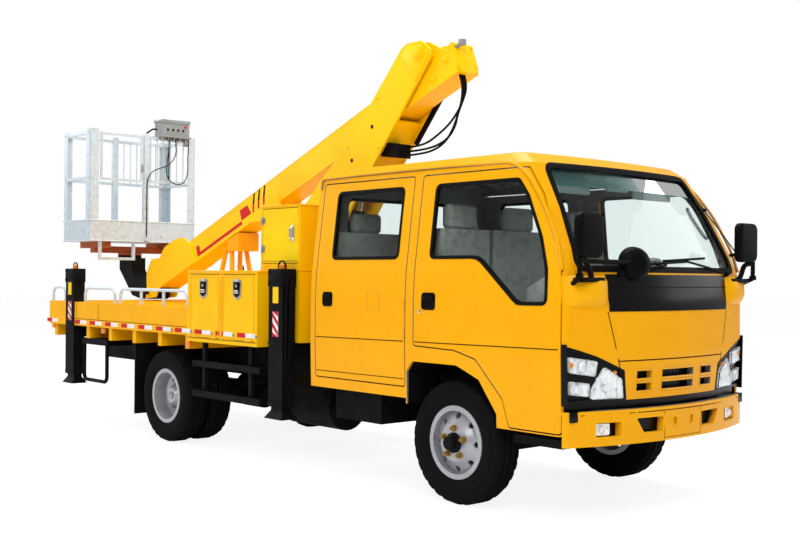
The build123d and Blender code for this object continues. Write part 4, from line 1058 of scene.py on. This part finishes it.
def tapeStrip():
    red, white, rivets = bmesh.new(), bmesh.new(), bmesh.new()
    x = -deckSet["half"]
    low, high = deckSet["strip"]
    y = -0.53
    while y < 2.98:
        if not 2.44 < y < 2.66:
            addBlock(white, (x - 0.0014, y, low), (x + 0.001, y + 0.125, high), 0)
            addBlock(red, (x - 0.0014, y + 0.125, low), (x + 0.001, y + 0.235, high), 0)
            if y < 0.9:
                addRod(rivets, (x, y - 0.02, low + 0.012), (x - 0.007, y - 0.02, low + 0.012), 0.012,
                       bevel=0.003)
        y += 0.305
    for y0, y1 in ((-0.96, -0.3), (0.3, 0.96)):
        count = 3
        for i in range(count):
            a = y0 + (y1 - y0) * i / count
            addBlock(white, (a, 3.009, low), (a + 0.11, 3.0114, high), 0)
            addBlock(red, (a + 0.11, 3.009, low), (a + 0.21, 3.0114, high), 0)
    for bm in (red, white, rivets):
        mirrored(bm)
    piece("redTapes", red, "chassis", redTape)
    piece("whiteTapes", white, "chassis", whiteTape)
    piece("stripRivets", rivets, "chassis", steel)


def deckDetails():
    bm = bmesh.new()
    for y in (1.98, 2.42):
        addSeam(bm, [(y, 0.912), (y, 1.128)], onDeckSide, 0.006)
    addSeam(bm, [(0.43, 0.975), (2.45, 0.975)], onDeckSide, 0.004)
    addSeam(bm, [(-0.55, 0.895), (0.42, 0.895)], onDeckSide, 0.004)
    mirrored(bm)
    piece("deckSeams", bm, "chassis", seamAndShadeInk)
    # raised checker ribs on the deck floor
    bm = bmesh.new()
    top = deckSet["top"]
    for row in range(46):
        for column in range(34):
            x, y = -0.935 + column * 0.0567, 0.5 + row * 0.0545
            if y > 2.96 or abs(x) < 0.17 and abs(y - 1.23) < 0.2 or abs(x) > 0.84 and 2.43 < y < 2.68:
                continue
            turn = Matrix.Rotation(math.radians(45 if (row + column) % 2 else -45), 4, "Z")
            bmesh.ops.create_cube(bm, size=1, matrix=Matrix.Translation((x, y, top + 0.0006)) @ turn
                                  @ Matrix.Diagonal((0.034, 0.007, 0.0024, 1)))
    piece("checkerRibs", bm, "chassis", bodyPaint, smooth=False)


def lockerDetails(side, hand):
    doors = (("front", (-0.52, -0.088)), ("rear", (-0.044, 0.388)))
    for place, (y0, y1) in doors:
        body = f"locker_door_{place}_{hand}"
        bm = bmesh.new()
        # pressed rim round the door
        loop = rounded([(y0 + 0.012, 0.915), (y1 - 0.012, 0.915), (y1 - 0.012, 1.385), (y0 + 0.012, 1.385)],
                       0.012, 3)
        addBand(bm, loop, 0.008, onDeckSide, proud=0.0025, sink=0.002)
        for y in (y0 + 0.07, y1 - 0.07):
            addBlock(bm, (-0.992, y - 0.032, 0.9), (-0.979, y + 0.032, 0.917), 0.005, 3)
        piece(f"lockerRim{place.title()}{hand.title()}", handed(bm, side), body, bodyPaint)
        y = (y0 + y1) / 2 + 0.012
        shield, plate = bmesh.new(), bmesh.new()
        outline = [(y - 0.055, 1.355), (y - 0.05, 1.235), (y, 1.205), (y + 0.05, 1.235), (y + 0.055, 1.355),
                   (y, 1.367)]
        addPlate(shield, [(-0.979, *p) for p in outline], (-0.007, 0, 0), 0.002)
        piece(f"latchPlate{place.title()}{hand.title()}", handed(shield, side), body, steel)
        inner = [(y - 0.043, 1.342), (y - 0.04, 1.245), (y, 1.222), (y + 0.04, 1.245), (y + 0.043, 1.342)]
        addPlate(plate, [(-0.985, *p) for p in inner], (-0.003, 0, 0), 0.001)
        piece(f"latchPan{place.title()}{hand.title()}", handed(plate, side), body,
              blackPlastic)
        grip = bmesh.new()
        addBlock(grip, (-0.996, y - 0.028, 1.255), (-0.987, y + 0.028, 1.28), 0.004, 3)
        addRod(grip, (-0.986, y, 1.312), (-0.994, y, 1.312), 0.011, bevel=0.002)
        piece(f"latchGrip{place.title()}{hand.title()}", handed(grip, side), body, chrome)
    # raised lip along the top of the lockers
    bm = bmesh.new()
    addBlock(bm, (-0.984, -0.559, 1.405), (-0.556, 0.428, 1.429), 0.006, 3)
    addBlock(bm, (-0.983, -0.066 - 0.016, 0.91), (-0.979, -0.066 + 0.016, 1.4), 0.0015)
    piece(f"lockerTop{hand.title()}", handed(bm, side), "chassis", bodyPaint)


def cabinetDetails():
    bm = bmesh.new()
    addBlock(bm, (-0.856, -0.906, 1.897), (-0.464, -0.404, 1.911), 0.005, 3)
    addBlock(bm, (-0.854, -0.904, 1.425), (-0.466, -0.406, 1.44), 0.003)
    piece("cabinetTop", bm, "chassis", bodyPaint)
    bm = bmesh.new()
    addSeam(bm, [(-0.875, 1.5), (-0.435, 1.5)], onCabinet, 0.003)
    piece("cabinetSeam", bm, "cabinet_door", seamAndShadeInk)
    bm = bmesh.new()
    for z in (1.5615, 1.7715):
        addRod(bm, (-0.857, -0.433, z), (-0.857, -0.433, z + 0.058), 0.0095, bevel=0.002)
        addBlock(bm, (-0.856, -0.462, z + 0.005), (-0.849, -0.436, z + 0.053), 0.002)
    piece("cabinetHinges", bm, "cabinet_door", steel)
    bm = bmesh.new()
    addBlock(bm, (-0.86, -0.832, 1.64), (-0.849, -0.802, 1.76), 0.006, 3)
    addTube(bm, rounded([(-0.855, -0.817, 1.655), (-0.882, -0.817, 1.665), (-0.882, -0.817, 1.735),
                         (-0.855, -0.817, 1.745)], 0.01, 4, closed=False), 0.006)
    piece("cabinetHandle", bm, "cabinet_door", chrome)


tapeStrip()
deckDetails()
for hand, side in hands:
    lockerDetails(side, hand)
cabinetDetails()
print("deck, lockers and cabinet done")


def columnDetails(side, hand):
    for place, y in columnSet.items():
        bm = bmesh.new()
        outline = [(y - 0.034, 1.195), (y + 0.034, 1.195), (y + 0.034, 1.315), (y - 0.034, 1.315)]
        addPlate(bm, [(-0.984, *p) for p in rounded(outline, 0.008, 3)], (-0.0025, 0, 0), 0)
        piece(f"columnPlate{place.title()}{hand.title()}", handed(bm, side), "chassis",
              yellowTape)
        red, white = bmesh.new(), bmesh.new()
        y0, y1, z0, z1 = y - 0.034, y + 0.034, 0.955, 1.135
        addBlock(white, (-0.9866, y0, z0), (-0.984, y1, z1), 0)
        band = 0.036
        for i in range(-2, 6):
            low = z0 + i * band * 2
            four = [(y0, low), (y1, low + 0.068), (y1, low + 0.068 + band), (y0, low + band)]
            clipped = [(a, min(max(b, z0), z1)) for a, b in four]
            if max(b for a, b in clipped) - min(b for a, b in clipped) < 0.004:
                continue
            if clipped[0][1] == clipped[3][1] and clipped[1][1] == clipped[2][1]:
                continue
            red.faces.new([red.verts.new((-0.9872, *p)) for p in clipped])
        bmesh.ops.remove_doubles(red, verts=red.verts[:], dist=1e-5)
        piece(f"columnWhite{place.title()}{hand.title()}", handed(white, side), "chassis",
              whiteTape)
        piece(f"columnRed{place.title()}{hand.title()}", handed(red, side), "chassis",
              redTape)
        bm = bmesh.new()
        addBlock(bm, (-0.991, y - 0.091, 1.312), (-0.869, y + 0.091, 1.442), 0.005, 2)
        for a in (-0.07, 0.07):
            addBolt(bm, (-0.991, y + a, 1.335), (-1, 0, 0), 0.009)
            addBolt(bm, (-0.991, y + a, 1.42), (-1, 0, 0), 0.009)
        for z in (0.46, 0.9):
            addBlock(bm, (-0.989, y - 0.089, z), (-0.871, y + 0.089, z + 0.02), 0.003)
        piece(f"columnCap{place.title()}{hand.title()}", handed(bm, side), "chassis",
              blackPaint)
        # foot pad with its ball seat
        bm = bmesh.new()
        addLathe(bm, [(0.365, 0), (0.365, 0.058), (0.374, 0.066), (0.386, 0.066), (0.396, 0.05),
                      (0.42, 0.044), (0.42, 0)], (columnX, y, 0), (0, 0, 1), 32)
        for a in (-1, 1):
            for b in (-1, 1):
                addBolt(bm, (columnX + a * 0.05, y + b * 0.085, 0.386), (0, 0, 1), 0.008)
        piece(f"footSeat{place.title()}{hand.title()}", handed(bm, side), f"jack_leg_{place}_{hand}",
              blackPaint)
    # hoses that run up beside the front column
    bm = bmesh.new()
    for i, (dx, dy) in enumerate(((0.02, 0.0), (0.045, 0.012), (0.07, 0.0))):
        line = [(-0.985 + dx, -0.893 - dy, 0.78), (-0.985 + dx, -0.897 - dy, 1.0),
                (-0.985 + dx, -0.897 - dy, 1.25), (-0.965 + dx, -0.888 - dy, 1.36)]
        addTube(bm, rounded(line, 0.05, 5, closed=False), 0.009)
        addRod(bm, (-0.985 + dx, -0.897 - dy, 1.12), (-0.985 + dx, -0.897 - dy, 1.15), 0.0125, sides=6)
    piece(f"columnHoses{hand.title()}", handed(bm, side), "chassis", rubberSeal)


for hand, side in hands:
    columnDetails(side, hand)
print("outriggers done")

boomHalf = 0.105
knee, base = Vector((-1.382, 3.026)), Vector((0.09, 1.56))
slope = math.radians(20.9)


def onUpper(u, v):
    return (knee.x + u * math.cos(slope) + v * math.sin(slope),
            knee.y - u * math.sin(slope) + v * math.cos(slope))


def onLower(s, v):
    way = (knee - base).normalized()
    return (base.x + s * way.x - v * way.y, base.y + s * way.y + v * way.x)


def boomDecals():
    # red bar with its upright end, a red block and three slashes, with no words
    red, dark = bmesh.new(), bmesh.new()
    x = -boomHalf - 0.0002
    bar = [(2.62, -0.262), (3.42, -0.262), (3.42, -0.162), (3.36, -0.162), (3.36, -0.232), (2.62, -0.232)]
    verts = [red.verts.new((x - 0.0006, *onUpper(*p))) for p in bar]
    red.faces.new(verts)
    block = [(2.46, -0.228), (2.62, -0.228), (2.62, -0.132), (2.49, -0.132)]
    red.faces.new([red.verts.new((x - 0.0006, *onUpper(*p))) for p in block])
    for i in range(3):
        u = 2.44 - i * 0.085
        slash = [(u, -0.232), (u - 0.03, -0.232), (u - 0.062, -0.15), (u - 0.03, -0.15)]
        red.faces.new([red.verts.new((x - 0.0006, *onUpper(*p))) for p in slash])
        tip = [(u - 0.028, -0.158), (u - 0.06, -0.158), (u - 0.098, -0.078), (u - 0.074, -0.078)]
        dark.faces.new([dark.verts.new((x - 0.0006, *onUpper(*p))) for p in tip])
    for bm in (red, dark):
        bmesh.ops.triangulate(bm, faces=bm.faces[:])
        mirrored(bm)
    piece("boomRedStripe", red, "upper_boom", redTape)
    piece("boomDarkSlashes", dark, "upper_boom", glossBlack)


def upperBoomDetails():
    bm = bmesh.new()
    # front end cap, with its bevelled foot and bolts
    half = 0.108
    outline = [(-half, -0.066), (half, -0.066), (half, -0.262), (half - 0.05, -0.304), (-half + 0.05, -0.304),
               (-half, -0.262)]
    corners = [(a, *onUpper(-0.271, b)) for a, b in outline]
    way = Vector((0, onUpper(-0.283, 0)[0] - onUpper(-0.271, 0)[0], onUpper(-0.283, 0)[1] - onUpper(-0.271,
                                                                                                    0)[1]))
    addPlate(bm, corners, way, 0.003)
    for a in (-0.085, 0.085):
        for b in (-0.09, -0.245):
            addBolt(bm, (a, *onUpper(-0.282, b)), way, 0.009)
    # bosses near the knee
    for u, v in ((-0.19, -0.15), (-0.02, -0.225)):
        for side in (-1, 1):
            p = onUpper(u, v)
            addRod(bm, (side * 0.1, *p), (side * 0.112, *p), 0.028, sides=28, bevel=0.003)
    # bolts and pin heads on the head plates
    for u, v in ((4.29, -0.1), (4.33, -0.16), (4.37, -0.24), (4.26, -0.3), (3.72, -0.02), (3.98, -0.02)):
        for side in (-1, 1):
            addBolt(bm, (side * 0.119, *onUpper(u, v)), (side, 0, 0), 0.013)
    for side in (-1, 1):
        p = onUpper(4.385, -0.262)
        addRod(bm, (side * 0.119, *p), (side * 0.127, *p), 0.045, sides=28, bevel=0.003)
    # weld beads along the box's corners
    for side in (-1, 1):
        for v in (-0.0745, -0.2955):
            line = [(side * boomHalf, *onUpper(0.27 + i * 0.4, v)) for i in range(9)]
            addTube(bm, line, 0.0035, sides=8)
    piece("upperBoomFittings", bm, "upper_boom", litBoomPaint)
    bm = bmesh.new()
    addRod(bm, (-0.06, *onUpper(-0.28, -0.1)), (-0.06, *onUpper(-0.33, -0.1)), 0.016, bevel=0.003)
    addBlock(bm, (-0.08, onUpper(-0.33, -0.1)[0] - 0.03, onUpper(-0.33, -0.1)[1] - 0.015),
             (-0.035, onUpper(-0.33, -0.1)[0] + 0.012, onUpper(-0.33, -0.1)[1] + 0.03), 0.006, 3)
    piece("tipSensor", bm, "upper_boom", trimPlastic)


def lowerBoomDetails():
    bm = bmesh.new()
    for side in (-1, 1):
        addRod(bm, (side * 0.162, *knee), (side * 0.168, *knee), 0.05, sides=32, bevel=0.003)
        addRod(bm, (side * 0.172, *knee), (side * 0.178, *knee), 0.028, sides=6, bevel=0.003)
        p = onLower(0.8, 0.12)
        addRod(bm, (side * 0.149, *p), (side * 0.158, *p), 0.036, sides=28, bevel=0.003)
        # doubler plate on the knee end
        edge = [onLower(s, v) for s, v in ((1.94, -0.14), (2.03, -0.13), (2.12, -0.04), (2.14, 0.07),
                                           (2.11, 0.1), (1.9, 0.12))]
        addPlate(bm, [(side * 0.15, *q) for q in edge], (side * 0.005, 0, 0), 0.0015)
    for s, v in ((1.06, -0.155), (1.3, 0.165), (1.55, -0.145)):
        for side in (-1, 1):
            addBolt(bm, (side * 0.15, *onLower(s, v * 0.9)), (side, 0, 0), 0.01)
    piece("lowerBoomFittings", bm, "lower_boom", litBoomPaint)
    # holes in the side plates drawn as dark discs: painted shade inside the boom
    dark = bmesh.new()
    for s in (1.36, 1.02):
        for side in (-1, 1):
            p = onLower(s, -0.02)
            addRod(dark, (side * 0.1495, *p), (side * 0.1512, *p), 0.016, sides=24)
    piece("lowerBoomHoleShade", dark, "lower_boom", seamAndShadeInk)


def addCord(name, body, node, points, diameter):
    # a free cord on one smooth curve, over its plain solid
    curve = bpy.data.curves.new(name, "CURVE")
    curve.dimensions, curve.resolution_u = "3D", 12
    spline = curve.splines.new("NURBS")
    spline.points.add(len(points) - 1)
    for knot, point in zip(spline.points, points):
        knot.co = (*point, 1)
    spline.order_u, spline.use_endpoint_u = 3, True
    curve.bevel_depth, curve.bevel_resolution, curve.use_fill_caps = diameter / 2, 4, True
    curve.materials.append(rubberSeal)
    cord = bpy.data.objects.new(name, curve)
    scene.collection.objects.link(cord)
    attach(cord, body)
    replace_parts(cord, node)


clampFace, boomFoot, hoseAcross, cableAcross = -1.13, -0.296, 0.016, 0.01
hoseStart = [onUpper(-0.235, boomFoot), onUpper(-0.235, boomFoot - 0.08)]
hoses = {  # how far to the side, the length, then the line from the upper boom to the clamp
    "outerHose": (-0.052, 0.96, [(-1.73, 2.65), (-1.69, 2.55), (-1.642, 2.452), (-1.565, 2.365),
                                 (-1.442, 2.314), (-1.285, 2.3), (clampFace, 2.3)]),
    "middleHose": (-0.03, 0.93, [(-1.722, 2.655), (-1.668, 2.563), (-1.645, 2.475), (-1.57, 2.392),
                                 (-1.44, 2.347), (-1.285, 2.332), (clampFace, 2.332)]),
    "innerHose": (-0.008, 0.85, [(-1.705, 2.665), (-1.645, 2.58), (-1.56, 2.5), (-1.44, 2.432),
                                 (-1.288, 2.368), (clampFace, 2.368)]),
}
for name, (x, length, line) in hoses.items():
    addCord(name, "lower_boom", "knee_hoses", [(x, y, z) for y, z in hoseStart + line], hoseAcross)

boomDecals()
upperBoomDetails()
lowerBoomDetails()
print("booms done")

basketSet = {"y": (2.945, 3.555), "half": 0.6, "floor": 1.725, "kick": 1.935, "mid": 2.34, "top": 2.82}


def basketDetails():
    y0, y1 = basketSet["y"]
    half = basketSet["half"]
    bm = bmesh.new()
    # rolled edges of the kick plates, and the bolts of plates and posts
    for z in (basketSet["kick"] - 0.004, basketSet["floor"] + 0.002):
        for start, end in (((-half, y0, z), (half, y0, z)), ((-half, y1, z), (half, y1, z)),
                           ((-half, y0, z), (-half, y1, z)), ((half, y0, z), (half, y1, z))):
            addRod(bm, start, end, 0.006, sides=10)
    for x in (-0.45, -0.2, 0.2, 0.45):
        addBolt(bm, (x, y1, 1.83), (0, 1, 0), 0.009)
        addBolt(bm, (x, y0, 1.79), (0, -1, 0), 0.009)
    for y in (3.1, 3.4):
        for side in (-1, 1):
            addBolt(bm, (side * half, y, 1.83), (side, 0, 0), 0.009)
    for side in (-1, 1):
        for y in (y0 + 0.05, y1 - 0.05):
            for z in (basketSet["mid"] + 0.014, basketSet["top"] - 0.014):
                addBolt(bm, (side * half, y, z), (side, 0, 0), 0.007)
    # slim bars in the upper bays
    for i in range(7):
        x = 0.075 + i * 0.076
        addRod(bm, (x, y0 + 0.014, basketSet["mid"] + 0.02), (x, y0 + 0.014, basketSet["top"] - 0.02), 0.006)
        addRod(bm, (x, y1 - 0.014, basketSet["mid"] + 0.02), (x, y1 - 0.014, basketSet["top"] - 0.02), 0.006)
    # nuts on the step's feet
    for x in (-0.48, -0.11):
        addBolt(bm, (x, y0 + 0.01, 1.7), (0, -1, 0), 0.008)
    piece("basketFittings", bm, "basket", zincSteel)
    # floor grating
    bm = bmesh.new()
    for i in range(28):
        x = -0.56 + i * 0.0415
        addBlock(bm, (x, y0 + 0.05, 1.744), (x + 0.004, y1 - 0.05, 1.752), 0)
    piece("floorGrating", bm, "basket", zincSteel, smooth=False)
    # control box lid, latches and the ribs under its tray
    bm = bmesh.new()
    addBlock(bm, (0.158, y0 - 0.072, 2.986), (0.496, y0 + 0.112, 3.007), 0.006, 3)
    addBlock(bm, (0.164, y0 - 0.0665, 2.968), (0.49, y0 - 0.058, 2.978), 0.002)
    for i in range(5):
        addBlock(bm, (0.17 + i * 0.066, y0 - 0.06, 2.79), (0.182 + i * 0.066, y0 + 0.1, 2.822), 0.003)
    addBlock(bm, (0.455, y0 - 0.02, 2.745), (0.5, y0 + 0.03, 2.822), 0.004)
    for x in (0.21, 0.3):
        addBlock(bm, (x, y0 - 0.066, 2.96), (x + 0.02, y0 - 0.06, 2.995), 0.002)
    piece("controlLid", bm, "basket", steel)
    bm = bmesh.new()
    for i in range(4):
        addRod(bm, (0.23 + i * 0.06, y0 - 0.058, 2.9), (0.23 + i * 0.06, y0 - 0.07, 2.9), 0.011, bevel=0.003)
    addTube(bm, rounded([(0.15, y0 + 0.02, 2.9), (0.1, y0 + 0.02, 2.9), (0.06, y0 + 0.02, 2.87),
                         (0.03, y0 + 0.02, 2.85)], 0.03, 4, closed=False), 0.009)
    piece("controlKnobs", bm, "basket", blackPlastic)
    bm = bmesh.new()
    addRod(bm, (0.44, y0 - 0.05, 2.94), (0.44, y0 - 0.072, 2.94), 0.013, bevel=0.004)
    piece("stopButton", bm, "basket", redLens)
    # gate latch
    bm = bmesh.new()
    addBlock(bm, (-0.034, y0 + 0.004, 2.44), (-0.014, y0 + 0.03, 2.52), 0.004)
    addRod(bm, (-0.024, y0 + 0.004, 2.48), (-0.024, y0 - 0.02, 2.48), 0.007, bevel=0.002)
    piece("gateLatch", bm, "basket_gate", steel)


basketDetails()
cables = {  # the length, then the line from the control box
    "gateCable": (1.21, [(0.345, 2.925, 2.82), (0.345, 2.925, 2.755), (0.356, 2.925, 2.68),
                         (0.325, 2.925, 2.59), (0.245, 2.925, 2.52), (0.15, 2.925, 2.49),
                         (0.07, 2.929, 2.45), (0.026, 2.936, 2.37), (0.024, 2.938, 2.27),
                         (0.024, 2.938, 1.775)]),
    "slackCable": (1.11, [(0.262, 2.911, 2.82), (0.262, 2.911, 2.74), (0.252, 2.911, 2.64),
                          (0.236, 2.911, 2.54), (0.232, 2.911, 2.44), (0.268, 2.911, 2.365),
                          (0.35, 2.911, 2.33), (0.43, 2.911, 2.348), (0.478, 2.911, 2.42),
                          (0.488, 2.911, 2.52), (0.482, 2.911, 2.62), (0.492, 2.911, 2.72),
                          (0.492, 2.911, 2.82)]),
    "straightCable": (0.445, [(0.276, 2.939, 2.82), (0.276, 2.939, 2.6), (0.276, 2.939, 2.375)]),
}
for name, (length, points) in cables.items():
    addCord(name, "basket", "basket_cables", points, cableAcross)
print("basket done")

floorSet = {"reach": 60, "glow": 1.22, "glowShare": 0.72}


def setFloor():
    bm = bmesh.new()
    bmesh.ops.create_grid(bm, x_segments=2, y_segments=2, size=floorSet["reach"])
    mesh = bpy.data.meshes.new("floor")
    bm.to_mesh(mesh)
    bm.free()
    floor = bpy.data.objects.new("floor", mesh)
    material = bpy.data.materials.new("floorWhite")
    material.use_nodes = True
    tree = material.node_tree
    new, link = tree.nodes.new, tree.links.new
    skin = tree.nodes["Principled BSDF"]
    skin.inputs["Base Color"].default_value = (0.9, 0.9, 0.9, 1)
    skin.inputs["Roughness"].default_value = 0.9
    glow = new("ShaderNodeEmission")
    glow.inputs["Color"].default_value = (1, 1, 1, 1)
    glow.inputs["Strength"].default_value = floorSet["glow"]
    path, most, mix = new("ShaderNodeLightPath"), new("ShaderNodeMath"), new("ShaderNodeMixShader")
    most.operation = "MULTIPLY"
    most.inputs[1].default_value = floorSet["glowShare"]
    link(path.outputs["Is Camera Ray"], most.inputs[0])
    link(most.outputs[0], mix.inputs[0])
    link(skin.outputs[0], mix.inputs[1])
    link(glow.outputs[0], mix.inputs[2])
    link(mix.outputs[0], tree.nodes["Material Output"].inputs["Surface"])
    mesh.materials.append(material)
    scene.collection.objects.link(floor)


setFloor()
